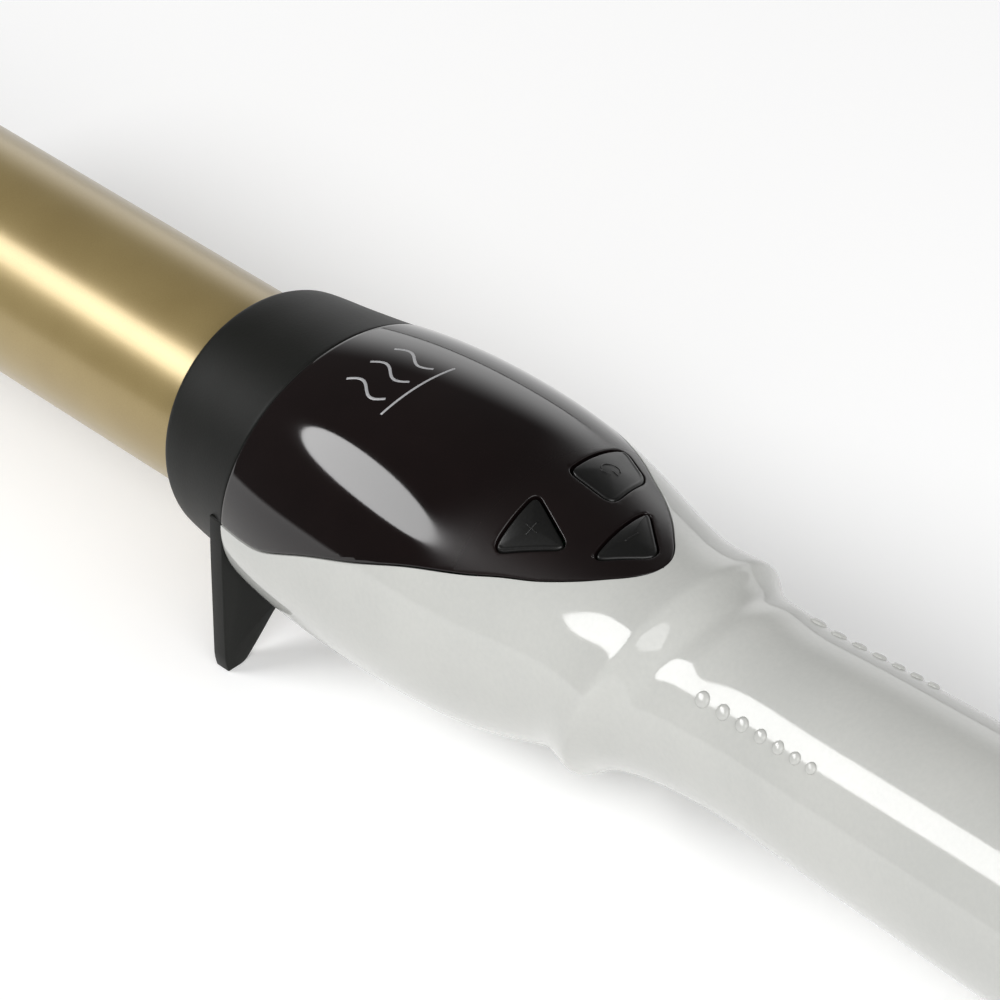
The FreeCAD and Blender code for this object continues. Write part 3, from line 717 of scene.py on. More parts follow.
@dataclass(frozen=True)
class PianoGloss:
    """Deep black gloss with the faintest warm cast, and satin towards the buttons."""

    low: tuple[float, float, float] = (0.0050, 0.0028, 0.0027)
    high: tuple[float, float, float] = (0.0085, 0.0050, 0.0048)
    satin_from: float = 0.0575
    satin_to: float = 0.0690

    def build(self) -> bpy.types.Material:
        """Build the material.

        Returns:
            The material.
        """
        kit = NodeKit("piano_gloss")
        cloud = kit.noise(40.0, 3.0)
        dust = kit.noise(3000.0, 1.0)
        start = float(REST.origin @ REST.along)
        satin = (kit.along(tuple(REST.along)) - start).ramp(self.satin_from, self.satin_to)
        kit.bump(dust, 0.03, 0.00002)
        return kit.surface(Base_Color=kit.blend(cloud.ramp(0.3, 0.7), self.low, self.high),
                           Roughness=(0.05 + 0.02 * cloud + 0.23 * satin).clamp(),
                           IOR=1.42)


@dataclass(frozen=True)
class Metal:
    """Bare or plated metal with fine working marks."""

    name: str
    low: tuple[float, float, float]
    high: tuple[float, float, float]
    roughness: float

    def build(self) -> bpy.types.Material:
        """Build the material.

        Returns:
            The material.
        """
        kit = NodeKit(self.name)
        marks = kit.noise(1500.0, 3.0, (0.08, 1.0, 1.0))
        cloud = kit.noise(90.0, 3.0)
        kit.bump(marks, 0.15, 0.00003)
        shade = (marks * 0.5 + cloud * 0.5).ramp(0.3, 0.7)
        return kit.surface(Base_Color=kit.blend(shade, self.low, self.high), Metallic=1.0,
                           Roughness=(self.roughness + 0.15 * (marks - 0.5)).clamp())


class Finish(Enum):
    """The finishes, by the record's material slots."""

    CHAMPAGNE_COAT = ChampagneCoat()
    CHARCOAL_PLASTIC = Moulding("charcoal_plastic", (0.0045, 0.0048, 0.0040), (0.0078, 0.0082, 0.0068),
                                0.50, 0.35, specular=0.17)
    PEARL_PLASTIC = Pearl()
    BLACK_GLOSS = PianoGloss()
    BLACK_SATIN = Moulding("black_satin", (0.0065, 0.0065, 0.0062), (0.0105, 0.0105, 0.0100),
                           0.36, 0.12, specular=0.35)
    BARE_ALUMINIUM = Metal("bare_aluminium", (0.62, 0.62, 0.63), (0.78, 0.78, 0.79), 0.38)
    STEEL = Metal("steel", (0.50, 0.50, 0.50), (0.66, 0.66, 0.67), 0.30)
    BRASS = Metal("brass", (0.68, 0.48, 0.20), (0.82, 0.62, 0.30), 0.28)
    HEATER_CERAMIC = Moulding("heater_ceramic", (0.55, 0.30, 0.06), (0.68, 0.40, 0.10), 0.30, 0.20, 0.6)
    SENSOR_GLASS = Moulding("sensor_glass", (0.45, 0.20, 0.08), (0.60, 0.30, 0.14), 0.12, 0.05, 1.0)
    HOLDER_PLASTIC = Moulding("holder_plastic", (0.20, 0.14, 0.085), (0.28, 0.20, 0.12), 0.55, 0.35)
    MICA = Moulding("mica", (0.52, 0.43, 0.26), (0.66, 0.57, 0.38), 0.35, 0.30, 0.3)
    INNER_PLASTIC = Moulding("inner_plastic", (0.50, 0.50, 0.48), (0.60, 0.60, 0.58), 0.55, 0.30)
    BOARD_LAMINATE = Moulding("board_laminate", (0.02, 0.13, 0.05), (0.035, 0.19, 0.08), 0.35, 0.25, 0.5)
    COMPONENT_PLASTIC = Moulding("component_plastic", (0.016, 0.016, 0.016), (0.028, 0.028, 0.028), 0.5, 0.4)
    CAPACITOR_CASE = Moulding("capacitor_case", (0.60, 0.42, 0.05), (0.70, 0.52, 0.09), 0.4, 0.25)
    LEAD_SLEEVE = Moulding("lead_sleeve", (0.62, 0.60, 0.52), (0.74, 0.72, 0.66), 0.7, 0.5)
    PRINT_GREY = Moulding("print_grey", (0.34, 0.34, 0.35), (0.44, 0.44, 0.45), 0.38, 0.1)


class Paintbox:
    """Builds each finish once and dresses pieces with it."""

    def __init__(self) -> None:
        """Start with nothing built."""
        self.built: dict[Finish, bpy.types.Material] = {}

    def dress(self, piece: bpy.types.Object, finish: Finish) -> None:
        """Give a piece one finish all over.

        Args:
            piece: the piece.
            finish: its finish.
        """
        if finish not in self.built:
            self.built[finish] = finish.value.build()
        piece.data.materials.clear()
        piece.data.materials.append(self.built[finish])

    def dress_nodes(self, slots: dict[str, str]) -> None:
        """Dress every CAD node with the finish of its material slot."""
        for node, slot in slots.items():
            self.dress(frame["nodes"][node], Finish[slot.upper()])


PAINT = Paintbox()


def stand_for(piece: bpy.types.Object, body: str, slot: str, *nodes: str) -> None:
    """Dress a piece, let it ride on its body and hide the CAD nodes that it stands for.

    Args:
        piece: the finished piece.
        body: the body it moves with.
        slot: the record's material slot, which also names its finish.
        nodes: the CAD nodes that it replaces.
    """
    PAINT.dress(piece, Finish[slot.upper()])
    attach(piece, body)
    if nodes:
        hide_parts(*nodes)
    LOG.info("%s: %d faces on %s", piece.name, len(piece.data.polygons), body)


# ---------------------------------------------------------------- sub-assemblies


@dataclass
class HeatedBarrel:
    """The coated barrel and its cool tip."""

    radius: float = 16.0
    wall: float = 1.0
    front: float = -140.0
    rear: float = 14.0
    edge: float = 0.35
    tip_radius: float = 15.7
    tip_length: float = 22.0
    dome: float = 9.0
    dome_turn: float = 86.0
    recess_radius: float = 3.2
    recess_depth: float = 2.0
    screw_radius: float = 1.7
    tip_wall: float = 5.0
    plug_depth: float = 10.0
    plug_gap: float = 0.1

    def tube(self) -> bpy.types.Object:
        """The coated tube.

        Returns:
            The piece.
        """
        inner = self.radius - self.wall
        corners = ((self.front, self.radius, self.edge), (self.rear, self.radius, self.edge),
                   (self.rear, inner, self.edge), (self.front, inner, self.edge))
        return lathe("champagne_barrel", rounded(corners), 256)

    def tip(self) -> bpy.types.Object:
        """The cool tip: a domed nose with a screw's recess, and a plug inside the tube.

        The dome's outline is nose + dome (1 - sin b), tip_radius - dome (1 - cos b).

        Returns:
            The piece.
        """
        nose = self.front - self.tip_length
        bend = np.radians(np.linspace(0.0, self.dome_turn, 14))
        arc = np.stack([nose + self.dome * (1 - np.sin(bend)),
                        self.tip_radius - self.dome * (1 - np.cos(bend))], axis=1)
        recess = self.recess_radius
        floor = nose + self.recess_depth
        back = nose + self.tip_wall
        plug = self.radius - self.wall - self.plug_gap
        end = self.front + self.plug_depth
        seat = self.front - 0.15
        outline = np.concatenate([
            arc, [(nose, recess + 0.4), (nose + 0.15, recess + 0.1), (nose + 0.4, recess), (floor, recess),
                  (floor, self.screw_radius), (back, self.screw_radius), (back, plug - 5.0),
                  (end, plug - 2.0), (end, plug), (seat, plug), (seat, self.tip_radius - 0.35),
                  (self.front - 0.25, self.tip_radius - 0.1), (self.front - 0.5, self.tip_radius)]])
        return lathe("cool_tip_nose", outline, 192)

    def build(self) -> None:
        """Build both pieces."""
        stand_for(self.tube(), "wand", "champagne_coat", "barrel_tube")
        stand_for(self.tip(), "wand", "charcoal_plastic", "cool_tip")


@dataclass
class StandCollar:
    """The heat collar with its two stand legs."""

    outside: Curve = field(default_factory=lambda: Curve((
        (0.0, 19.55), (3.0, 19.95), (7.0, 20.4), (11.0, 21.0), (14.0, 21.55), (16.4, 22.05))))
    lean: Curve = field(default_factory=lambda: Curve(((0.0, 0.0), (6.0, 0.25), (10.0, 1.4), (13.0, 3.1),
                                                       (16.4, 5.13))))
    bore: float = 16.4
    wall: float = 2.0
    lip: float = 2.4
    room: float = 17.4
    rear: float = 16.4
    around: int = 220
    foot_station: float = 9.6
    foot_depth: float = 29.1
    leg_thickness: float = 2.95
    leg_edge: float = 0.45

    def ring(self) -> bpy.types.Object:
        """The collar's ring.

        Its outline runs from the bore over the front lip, back along the outside to the slanted rear edge
        and forward again inside. A point is (s + lean cos t, -r sin t, r cos t).

        Returns:
            The piece.
        """
        back = np.linspace(1.1, self.rear - 0.25, 40)
        face = self.outside(np.array([0.0, 0.0, 0.3, 0.6])) - np.array([1.0, 0.5, 0.14, 0.02])
        front = np.concatenate([[(0.35, self.bore), (0.08, self.bore + 0.12), (0.0, self.bore + 0.4)],
                                np.stack([[0.0, 0.06, 0.25, 0.6], face], axis=1)])
        outer = np.stack([back, self.outside(back)], axis=1)
        rim = self.outside(np.array(self.rear))
        tail = np.array([(self.rear - 0.07, rim - 0.06), (self.rear, rim - 0.28),
                         (self.rear, rim - self.wall)])
        within = back[::-4]
        inner = np.stack([np.maximum(within, self.lip + 0.2),
                          np.maximum(self.outside(within) - self.wall, self.room)], axis=1)
        lip = np.array([(self.lip, self.room), (self.lip, self.bore)])
        outline = np.concatenate([front, outer, tail, inner, lip])
        turn = np.arange(self.around) * TAU / self.around
        station = outline[:, :1]
        radius = outline[:, 1:]
        lean = self.lean(station) * radius / np.maximum(self.outside(station), 1.0)
        points = np.stack([station + lean * np.cos(turn), -radius * np.sin(turn), radius * np.cos(turn)],
                          axis=-1)
        piece = new_piece("heat_collar", points.reshape(-1, 3),
                          grid_faces(len(outline), self.around, True, True))
        weld(piece)
        return piece

    def leg_shell(self, side: int) -> tuple[np.ndarray, list]:
        """One stand leg: a plate in the plane of the collar's rear edge.

        The outline (y, z) is carried from the rear plane x = rear + slope z forwards by the thickness.

        Args:
            side: -1 for the near leg, 1 for the far one.

        Returns:
            Points and faces.
        """
        slope = self.lean(np.array(self.rear)) / self.outside(np.array(self.rear))
        corners = ((21.98, 1.5, 0.0), (22.35, -7.0, 3.0), (23.0, -self.foot_depth + 2.3, 1.2),
                   (22.6, -self.foot_depth, 0.25), (19.5, -self.foot_depth, 1.0), (16.6, -26.0, 2.2),
                   (12.9, -21.6, 2.4), (9.5, -19.4, 0.5), (11.0, -17.2, 0.0), (18.6, -9.5, 2.0),
                   (20.4, 1.5, 0.0))
        outline = rounded(corners, 7)
        y = side * outline[:, 0]
        z = outline[:, 1]
        rear_x = self.rear - 0.02 + slope * z
        rear = np.stack([rear_x, y, z], axis=1)
        fore = rear - np.array([self.leg_thickness, 0.0, 0.0])
        lean = math.tan(rest_angle())
        for layer in (rear, fore):
            floor = -self.foot_depth + lean * (layer[:, 0] - self.foot_station)
            layer[:, 2] = np.maximum(layer[:, 2], floor)
        count = len(outline)
        points = np.concatenate([rear, fore])
        step = np.arange(count)
        walls = np.stack([step, (step + 1) % count, (step + 1) % count + count, step + count], axis=1)
        faces = walls.tolist() + [list(range(count)), list(range(2 * count - 1, count - 1, -1))]
        return points, faces

    def build(self) -> None:
        """Build the ring and the legs."""
        ring = self.ring()
        for name, side in (("stand_leg_near", -1), ("stand_leg_far", 1)):
            points, faces = self.leg_shell(side)
            leg = new_piece(name, points, faces)
            weld(leg)
            soften(leg, self.leg_edge, 3, 40.0)
            stand_for(leg, "wand", "charcoal_plastic", "collar_stand")
        stand_for(ring, "wand", "charcoal_plastic", "collar_stand")


def rest_angle() -> float:
    """The angle between the wand's axis and the surface it rests on, in radians."""
    return math.asin(-REST.along[2])


@dataclass
class PearlHandle:
    """The one-piece white handle with the cover's opening and its rows of grip pips."""

    gap: float = 0.13
    wall: float = 2.5
    tail: float = 196.95
    pip_count: int = 7
    pip_first: float = 111.3
    pip_pitch: float = 5.2
    pip_shrink: float = 0.17
    pip_turn: float = 45.0
    pip_radius: float = 1.22
    pip_taper: float = 0.055
    pip_rise: float = 0.5
    pip_root: float = 0.5
    flare_end: float = 112.0
    across: int = 201

    def skin(self) -> bpy.types.Object:
        """The handle's skin.

        Beside the opening a row runs from one seam round underneath to the other seam; behind the apex a
        row is a whole ring.

        Returns:
            The piece.
        """
        share = np.linspace(0.0, 1.0, self.across)[None, :]
        root = np.linspace(math.sqrt(SEAM.apex - SEAM.front), 0.0, 220)
        beside = SEAM.apex - root ** 2
        edge = SEAM.turn(beside) + self.gap / SKIN.radius(beside)
        opening_turn = edge[:, None] + share * (TAU - 2 * edge[:, None])
        flare = np.linspace(SEAM.apex + self.gap, self.flare_end, 120)
        grip = np.linspace(self.flare_end, self.tail, 90)[1:]
        behind = np.concatenate([flare, grip])
        stations = np.concatenate([beside, behind])[:, None]
        turns = np.concatenate([opening_turn, np.broadcast_to(share * TAU, (len(behind), self.across))])
        points = SKIN.point(stations, turns)
        piece = new_piece("pearl_handle", points.reshape(-1, 3), grid_faces(len(stations), self.across))
        weld(piece, 2e-6)
        return piece

    def pip_shell(self, number: int, side: int) -> tuple[np.ndarray, np.ndarray]:
        """A small raised pip on a flank of the grip.

        It is centre + r (cos a e + sin a f) + height(r) n, where height falls to zero at the rim as the
        root of 1 - (r / rim)^4, less the skin's own fall across the pip.

        Args:
            number: the pip's place in its row.
            side: -1 for the far flank, 1 for the near one.

        Returns:
            Points and quads.
        """
        rings = np.array([0.0, 0.35, 0.6, 0.78, 0.9, 0.965, 1.0, 1.03])
        angle = np.arange(28) * TAU / 28
        station = np.array(self.pip_first + self.pip_pitch * number
                           - self.pip_shrink * number * (number - 1))
        turn = np.array(side * math.radians(self.pip_turn))
        normal = SKIN.normal(station, turn)
        along = np.array([1.0, 0.0, 0.0]) - normal * normal[0]
        along /= np.linalg.norm(along)
        spread = (rings * (self.pip_radius - self.pip_taper * number))[:, None, None]
        rise = self.pip_rise * np.sqrt(np.clip(1 - rings ** 4, 0.0, 1.0)) - 0.04
        rise[-1] = -self.pip_root
        flat = spread * (np.cos(angle)[None, :, None] * along
                         + np.sin(angle)[None, :, None] * np.cross(normal, along))
        fall = (spread[:, :, 0] * np.sin(angle)) ** 2 / (2 * SKIN.radius(station))
        points = SKIN.point(station, turn) + flat + (rise[:, None] - fall)[:, :, None] * normal
        return points.reshape(-1, 3), grid_faces(len(rings), len(angle), False, True)

    def build(self) -> None:
        """Build the skin and the pips."""
        skin = self.skin()
        thicken(skin, self.wall, 0.28, 3)
        stand_for(skin, "wand", "pearl_plastic", "handle_shell")
        pips = join_shells("grip_pips", [self.pip_shell(number, side) for side in (1, -1)
                                         for number in range(self.pip_count)])
        stand_for(pips, "wand", "pearl_plastic")


@dataclass(frozen=True)
class ButtonShape:
    """A push button's outline seen from above, counter-clockwise, and its job."""

    name: str
    corners: tuple[tuple[float, float, float], ...]

    def outline(self, reach: float = 0.0, count: int = 120) -> np.ndarray:
        """The outline at even steps, moved outwards by the reach."""
        return offset(resample(rounded(self.corners, 9), count), reach)


POWER = ButtonShape("power_button", ((69.9, 2.9, 1.6), (78.9, 3.4, 2.4), (75.4, 12.1, 2.2),
                                     (67.0, 14.9, 2.6)))
PLUS = ButtonShape("plus_button", ((70.3, -2.8, 1.8), (70.9, -12.9, 2.6), (80.6, -6.1, 2.4)))
MINUS = ButtonShape("minus_button", ((84.0, -5.7, 2.4), (91.3, 1.1, 2.6), (81.7, 7.2, 2.4)))


@dataclass
class ControlCover:
    """The gloss cover with its three apertures.

    It is laid out on the flat of station and arc, where the arc is the turn times arc_radius.
    """

    gap: float = 0.13
    wall: float = 2.0
    edge: float = 0.2
    spacing: float = 0.62
    button_gap: float = 0.10
    arc_radius: float = 22.0
    widest: float = 40.0

    def rim(self) -> np.ndarray:
        """The cover's outline: up the near seam to the apex, back along the far one and across the front.

        Returns:
            N by 2 array of station and arc.
        """
        root = np.linspace(math.sqrt(SEAM.apex - SEAM.front), 0.03, 190)
        flank = SEAM.apex - root ** 2
        half = (SEAM.turn(flank) - self.gap / SKIN.radius(flank)) * self.arc_radius
        near = np.stack([flank, half], axis=1)[half > 0.05]
        far = near[::-1] * np.array([1.0, -1.0])
        tip = np.array([[near[-1, 0] + 0.02, 0.0]])
        front_arc = np.linspace(-near[0, 1], near[0, 1], 110)[1:-1]
        front = np.stack([np.full(len(front_arc), SEAM.front), front_arc], axis=1)
        return np.concatenate([near, tip, far, front])

    def aperture(self, shape: ButtonShape) -> np.ndarray:
        """A button's aperture.

        Args:
            shape: the button's outline.

        Returns:
            N by 2 array of station and arc.
        """
        seen = shape.outline(self.button_gap)
        station, turn = SKIN.locate(seen[:, 0], seen[:, 1])
        return np.stack([station, turn * self.arc_radius], axis=1)

    def filling(self, loops: list[np.ndarray]) -> np.ndarray:
        """Points spaced evenly over the cover, clear of its outlines.

        Args:
            loops: the rim and then the apertures.

        Returns:
            N by 2 array of station and arc.
        """
        stations = np.arange(SEAM.front + self.spacing, SEAM.apex, self.spacing)
        arcs = np.arange(-self.widest, self.widest, self.spacing)
        cloud = np.stack(np.meshgrid(stations, arcs, indexing="ij"), axis=-1)
        cloud[::2, :, 1] += self.spacing / 2
        cloud = cloud.reshape(-1, 2)
        reach = SEAM.turn(cloud[:, 0]) * self.arc_radius - np.abs(cloud[:, 1])
        cloud = cloud[reach > self.spacing * 0.8]
        borders = np.concatenate(loops)
        clear = (borders[:, 0] - cloud[:, :1]) ** 2 + (borders[:, 1] - cloud[:, 1:]) ** 2
        cloud = cloud[clear.min(axis=1) > (self.spacing * 0.45) ** 2]
        for aperture in loops[1:]:
            cloud = cloud[~inside(cloud, aperture)]
        return cloud

    def build(self) -> None:
        """Join the points into triangles that keep the outlines as edges, and carry them onto the skin."""
        loops = [self.rim(), *(self.aperture(shape) for shape in (POWER, PLUS, MINUS))]
        spots = np.concatenate([*loops, self.filling(loops)])
        edges = []
        first = 0
        for loop in loops:
            step = np.arange(len(loop))
            edges += np.stack([first + step, first + (step + 1) % len(loop)], axis=1).tolist()
            first += len(loop)
        flat, _, triangles, *_ = delaunay_2d_cdt([Vector(spot) for spot in spots.tolist()], edges, [], 0,
                                                 1e-6)
        flat = np.array(flat, float)
        triangles = np.array(triangles)
        middle = flat[triangles].mean(axis=1)
        kept = inside(middle, loops[0])
        for aperture in loops[1:]:
            kept &= ~inside(middle, aperture)
        points = SKIN.point(flat[:, 0], flat[:, 1] / self.arc_radius)
        piece = new_piece("gloss_cover", points, triangles[kept])
        weld(piece, 1e-7, outward=False)
        self.face_outwards(piece)
        thicken(piece, self.wall, self.edge, 3)
        stand_for(piece, "wand", "black_gloss", "control_cover")

    @staticmethod
    def face_outwards(piece: bpy.types.Object) -> None:
        """Flip the cover if its faces point down.

        Args:
            piece: the cover's skin.
        """
        faces = piece.data.polygons
        normals = np.empty(3 * len(faces), np.float32)
        areas = np.empty(len(faces), np.float32)
        faces.foreach_get("normal", normals)
        faces.foreach_get("area", areas)
        if normals[2::3] @ areas < 0:
            piece.data.flip_normals()


@dataclass
class PushButtons:
    """The three satin button caps, each with its mark."""

    gap: float = 0.2
    dome: float = 0.25
    skirt: float = 4.0
    edge: float = 0.45
    mark_radius: float = 0.14
    mark_sink: float = 0.06

    def cap(self, shape: ButtonShape) -> bpy.types.Object:
        """A button cap on a polar grid.

        The top carries the outline shrunk to its middle by v and follows the skin plus dome (1 - v^2); its
        last rings turn down through a quarter round of the edge radius and run down as a skirt.

        Args:
            shape: the button's outline.

        Returns:
            The piece.
        """
        outline = shape.outline(-self.gap)
        middle = outline.mean(axis=0)
        rim = offset(outline, -self.edge)
        layers = []
        for share in np.append(np.linspace(0.0, 0.9, 13), 0.95):
            spot = middle + (rim - middle) * share
            top = self.level(spot) + self.dome * (1 - share ** 2)
            layers.append(np.column_stack([spot, top]))
        level = self.level(rim)
        for bend in np.radians(np.linspace(0.0, 90.0, 7)):
            spot = offset(outline, -self.edge * (1 - math.sin(bend)))
            layers.append(np.column_stack([spot, level - self.edge * (1 - math.cos(bend))]))
        layers.append(np.column_stack([outline, level - self.skirt]))
        floor = np.full(len(outline), level.mean() - self.skirt)
        layers.append(np.column_stack([np.broadcast_to(middle, outline.shape), floor]))
        points = np.concatenate(layers)
        piece = new_piece(f"{shape.name}_cap", points,
                          grid_faces(len(layers), len(outline), False, True))
        weld(piece)
        return piece

    @staticmethod
    def level(spots: np.ndarray) -> np.ndarray:
        """The height of the skin over some spots.

        Args:
            spots: N by 2 array of x and y.

        Returns:
            Their heights.
        """
        station, turn = SKIN.locate(spots[:, 0], spots[:, 1])
        return SKIN.point(station, turn)[:, 2]

    def bar(self, shape: ButtonShape, marks: list[np.ndarray]) -> bpy.types.Object:
        """A mark on a button: thin raised bars.

        Args:
            shape: the button's outline.
            marks: the bars' paths, from the button's middle.

        Returns:
            The piece.
        """
        middle = shape.outline(-self.gap).mean(axis=0)
        shells = []
        for mark in marks:
            spot = middle + mark
            height = self.level(spot) + self.dome - self.mark_sink
            shells.append(tube(np.column_stack([spot, height]), self.mark_radius))
        return join_shells(f"{shape.name}_mark", shells)

    def build(self) -> None:
        """Build the caps and their marks."""
        ring = np.radians(np.linspace(40.0, 320.0, 40))
        run = np.linspace(-1.15, 1.15, 12)
        level = 0 * run
        marks = {
            POWER: [1.25 * np.stack([np.cos(ring), np.sin(ring)], axis=1),
                    np.stack([np.linspace(0.35, 1.5, 8), np.zeros(8)], axis=1)],
            PLUS: [np.stack([run, level], axis=1), np.stack([level, run], axis=1)],
            MINUS: [np.stack([level, run], axis=1)],
        }
        for shape, paths in marks.items():
            stand_for(self.cap(shape), shape.name, "black_satin", shape.name)
            stand_for(self.bar(shape, paths), shape.name, "black_satin")


@dataclass
class HeatMark:
    """A plain printed heat sign on the cover: three rising waves over a line."""

    middle: float = 29.5
    length: float = 9.5
    spacing: float = 4.4
    swing: float = 0.95
    stroke: float = 0.42
    rise: float = 0.06

    def build(self) -> None:
        """Build the waves and the line as thin bars that follow the skin.

        A wave's station is middle + length s and its arc is its place plus swing sin(2 pi s). The line
        runs round the skin behind them.
        """
        share = np.linspace(-0.5, 0.5, 60)
        sink = self.stroke - self.rise
        shells = []
        for number in (-1, 0, 1):
            station = self.middle + self.length * share
            turn = (number * self.spacing + self.swing * np.sin(TAU * share)) / SKIN.radius(station)
            shells.append(tube(SKIN.point(station, turn, sink), self.stroke, 16))
        station = np.full(60, self.middle + self.length / 2 + 2.0)
        turn = 3.1 * self.spacing * share / SKIN.radius(station)
        shells.append(tube(SKIN.point(station, turn, sink), self.stroke, 16))
        piece = join_shells("heat_mark", shells)
        PAINT.dress(piece, Finish.PRINT_GREY)
        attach(piece, "wand")
        LOG.info("%s: printed on the cover", piece.name)


@dataclass
class SwivelEnd:
    """The rear cap and the turning gland."""

    tail: float = 197.0
    tail_radius: float = 17.4
    gap: float = 0.1
    round: float = 6.0
    spigot_front: float = 185.5
    cap_floor: float = 196.4
    cap_rear: float = 207.0
    play: float = 0.07
    gland_radius: float = 7.5
    gland_bore: float = 3.2
    gland_front: float = 172.0
    gland_rear: float = 221.0
    gland_round: float = 1.8
    flange: float = 10.5
    flange_front: float = 193.5
    flange_rear: float = 196.0
    neck: float = 5.4
    rib_first: float = 209.5
    rib_pitch: float = 2.6

    def cap(self) -> bpy.types.Object:
        """The rear cap: a rounded ring with a spigot inside the handle.

        The round's outline is front + round sin b, rim - round (1 - cos b).

        Returns:
            The piece.
        """
        rim = self.tail_radius - 0.3
        front = self.tail + self.gap
        bend = np.radians(np.linspace(0.0, 90.0, 12))
        arc = np.stack([front + self.round * np.sin(bend), rim - self.round * (1 - np.cos(bend))], axis=1)
        spigot = self.tail_radius - 3.1
        bore = self.gland_radius + self.play
        pocket = self.flange + 1.0
        outline = np.concatenate([
            [(front, spigot), (front, rim - 0.3), (front + 0.1, rim - 0.08)], arc[1:],
            [(self.cap_rear - 0.9, rim - 7.3), (self.cap_rear - 0.25, rim - 7.6),
             (self.cap_rear, rim - 8.2), (self.cap_rear, self.gland_radius + 0.35),
             (self.cap_rear - 0.3, bore), (self.cap_floor, bore), (self.cap_floor, pocket),
             (self.spigot_front, pocket), (self.spigot_front, spigot)]])
        return lathe("rear_cap_ring", outline, 192)

    def gland(self) -> bpy.types.Object:
        """The turning gland: a neck, a flange behind the cap and a ribbed nose.

        Returns:
            The piece.
        """
        start = self.rib_first + self.rib_pitch * np.arange(4)[:, None]
        ribs = np.stack([start + np.array([0.0, 0.25, 1.15, 1.4]),
                         self.gland_radius - np.array([0.0, 0.5, 0.5, 0.0]) + 0 * start], axis=-1)
        bend = np.radians(np.linspace(0.0, 90.0, 8))
        nose = np.stack([self.gland_rear - self.gland_round * (1 - np.sin(bend)),
                         self.gland_radius - self.gland_round * (1 - np.cos(bend))], axis=1)
        outline = np.concatenate([
            [(self.gland_front, self.gland_bore), (self.gland_front, self.neck),
             (self.flange_front, self.neck), (self.flange_front, self.flange),
             (self.flange_rear, self.flange), (self.flange_rear, self.gland_radius)],
            ribs.reshape(-1, 2), nose,
            [(self.gland_rear, self.gland_bore + 0.5), (self.gland_rear - 0.15, self.gland_bore + 0.15),
             (self.gland_rear - 0.5, self.gland_bore)]])
        return lathe("swivel_nose", outline, 160)

    def build(self) -> None:
        """Build both pieces."""
        stand_for(self.cap(), "wand", "charcoal_plastic", "rear_cap")
        stand_for(self.gland(), "swivel", "charcoal_plastic", "swivel_gland")


# ---------------------------------------------------------------- studio


class LightShape(Enum):
    """The outline of a soft light."""

    RECTANGLE = "RECTANGLE"
    ELLIPSE = "ELLIPSE"


@dataclass(frozen=True)
class Softbox:
    """A soft light: its direction from the wand in the wand's frame, sizes in metres and watts."""

    name: str
    heading: tuple[float, float, float]
    distance: float
    width: float
    height: float
    power: float
    shape: LightShape = LightShape.RECTANGLE
    fades: bool = False

    def build(self, target: tuple[float, float, float]) -> None:
        """Place the light.

        Args:
            target: the point it faces, in the wand's frame.
        """
        data = bpy.data.lights.new(self.name, "AREA")
        data.shape = self.shape.value
        data.size = self.width
        data.size_y = self.height
        data.energy = self.power
        light = bpy.data.objects.new(self.name, data)
        bpy.context.scene.collection.objects.link(light)
        way = REST.direction(self.heading)
        way = way / np.linalg.norm(way)
        spot = REST.place(np.array(target)) + way * self.distance
        turn = Vector(way.tolist()).to_track_quat("Z", "Y").to_matrix().to_4x4()
        light.matrix_world = Matrix.Translation(Vector(spot.tolist())) @ turn
        if self.fades:
            self.fade(data)

    @staticmethod
    def fade(data: bpy.types.Light) -> None:
        """Let a light fade towards its upper edge, like a panel lit from below.

        Args:
            data: the light.
        """
        data.use_nodes = True
        nodes = Nodes(data.node_tree)
        spot = nodes.signal("ShaderNodeNewGeometry", {}, {}, "Parametric")
        share = nodes.signal("ShaderNodeSeparateXYZ", {}, {"Vector": spot}, "Y")
        nodes.feed(data.node_tree.nodes["Emission"].inputs["Strength"], share.ramp(0.95, 0.25, 2.0))


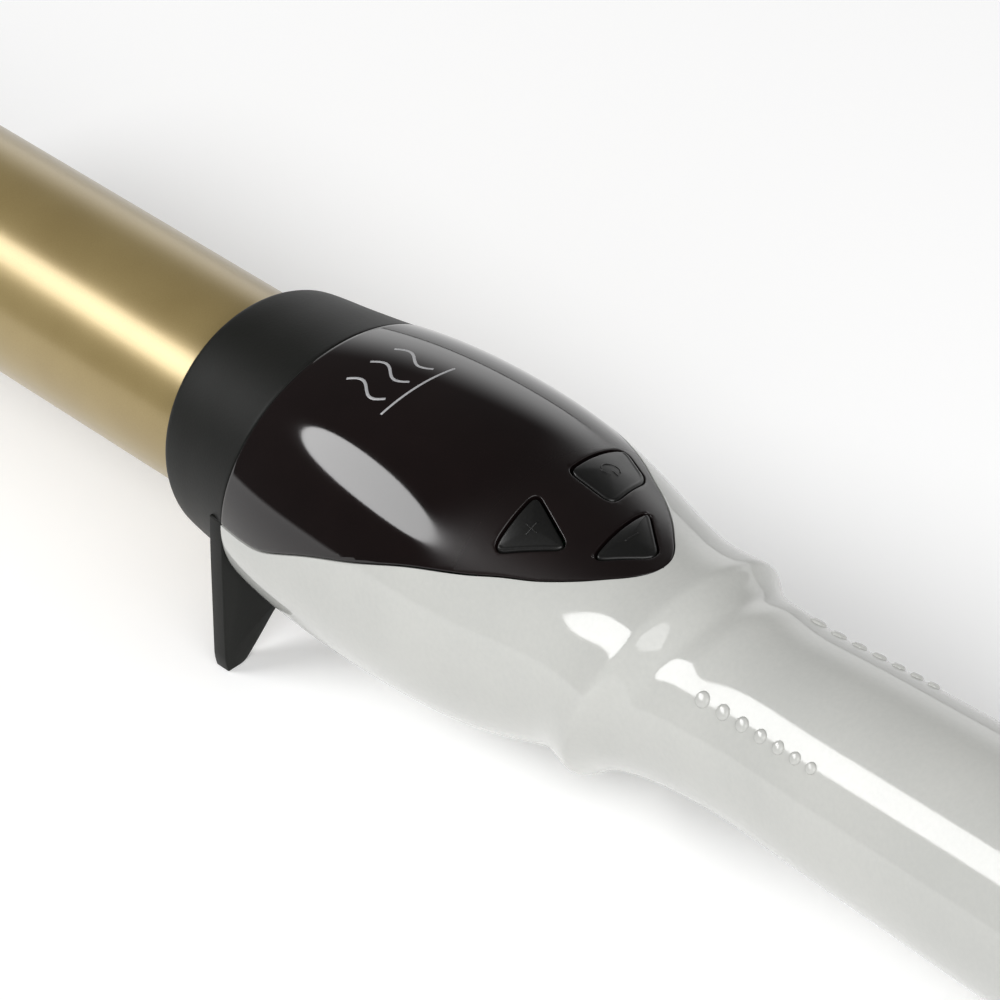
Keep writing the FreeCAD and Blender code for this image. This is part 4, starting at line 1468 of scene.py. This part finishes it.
@dataclass
class Studio:
    """A pale floor, soft lights and the camera, placed in the wand's frame."""

    eye: tuple[float, float, float] = (718.7, -415.5, 580.7)
    sight: tuple[float, float, float] = (-0.6848, 0.4294, -0.5888)
    top: tuple[float, float, float] = (-0.3774, 0.4821, 0.7906)
    lens: float = 250.43
    target: tuple[float, float, float] = (60.0, 0.0, 0.0)
    floor_half: float = 3.0
    dimness: float = 0.10
    lights: tuple[Softbox, ...] = (
        Softbox("key", (-0.64, -0.51, 0.57), 1.6, 1.0, 0.5, 13.5, LightShape.ELLIPSE),
        Softbox("front_bank", (0.72, -0.35, 0.62), 2.0, 2.2, 1.4, 43.0),
        Softbox("far_panel", (-0.60, 0.78, 0.26), 1.7, 2.4, 1.0, 5.5, fades=True),
    )

    def camera(self) -> None:
        """Place the camera."""
        data = bpy.data.cameras.new("camera")
        data.lens = self.lens
        data.sensor_width = 36.0
        data.clip_start = 0.01
        data.clip_end = 50.0
        camera = bpy.data.objects.new("camera", data)
        bpy.context.scene.collection.objects.link(camera)
        back = -REST.direction(self.sight)
        top = REST.direction(self.top)
        side = np.cross(top, back)
        turn = Matrix(np.stack([side, top, back], axis=1).tolist()).to_4x4()
        turn.translation = Vector(REST.place(np.array(self.eye)).tolist())
        camera.matrix_world = turn
        bpy.context.scene.camera = camera

    def floor(self) -> None:
        """A wide pale floor with the faintest mottling."""
        mesh = bpy.data.meshes.new("floor")
        half = self.floor_half
        mesh.from_pydata([(-half, -half, 0), (half, -half, 0), (half, half, 0), (-half, half, 0)], [],
                         [(0, 1, 2, 3)])
        floor = bpy.data.objects.new("floor", mesh)
        bpy.context.scene.collection.objects.link(floor)
        kit = NodeKit("pale_floor")
        cloud = kit.noise(2.0, 2.0)
        colour = kit.blend(cloud, (0.84, 0.84, 0.84), (0.86, 0.86, 0.86))
        mesh.materials.append(kit.surface(Base_Color=colour, Roughness=0.9, Specular_IOR_Level=0.1,
                                          Emission_Color=(1.0, 1.0, 1.0, 1.0), Emission_Strength=0.22))

    def world(self) -> None:
        """Dim, even surroundings."""
        world = bpy.data.worlds.new("surroundings")
        world.use_nodes = True
        inputs = world.node_tree.nodes["Background"].inputs
        inputs["Color"].default_value = (1.0, 1.0, 1.0, 1.0)
        inputs["Strength"].default_value = self.dimness
        bpy.context.scene.world = world

    def build(self) -> None:
        """Set up everything."""
        bpy.context.scene.view_settings.view_transform = "Standard"
        self.camera()
        self.floor()
        self.world()
        for light in self.lights:
            light.build(self.target)


def main() -> None:
    """Build the wand and its studio."""
    logging.basicConfig(level=logging.INFO, format="%(name)s %(message)s")
    slots = {entry["node"]: entry["material_slot"] for entry in frame["record"]["subparts"]}
    PAINT.dress_nodes(slots)
    Studio().build()
    for assembly in (HeatedBarrel(), StandCollar(), PearlHandle(), ControlCover(), PushButtons(),
                     HeatMark(), SwivelEnd()):
        assembly.build()
        LOG.info("built %s", type(assembly).__name__)


if __name__ == "__main__":
    main()
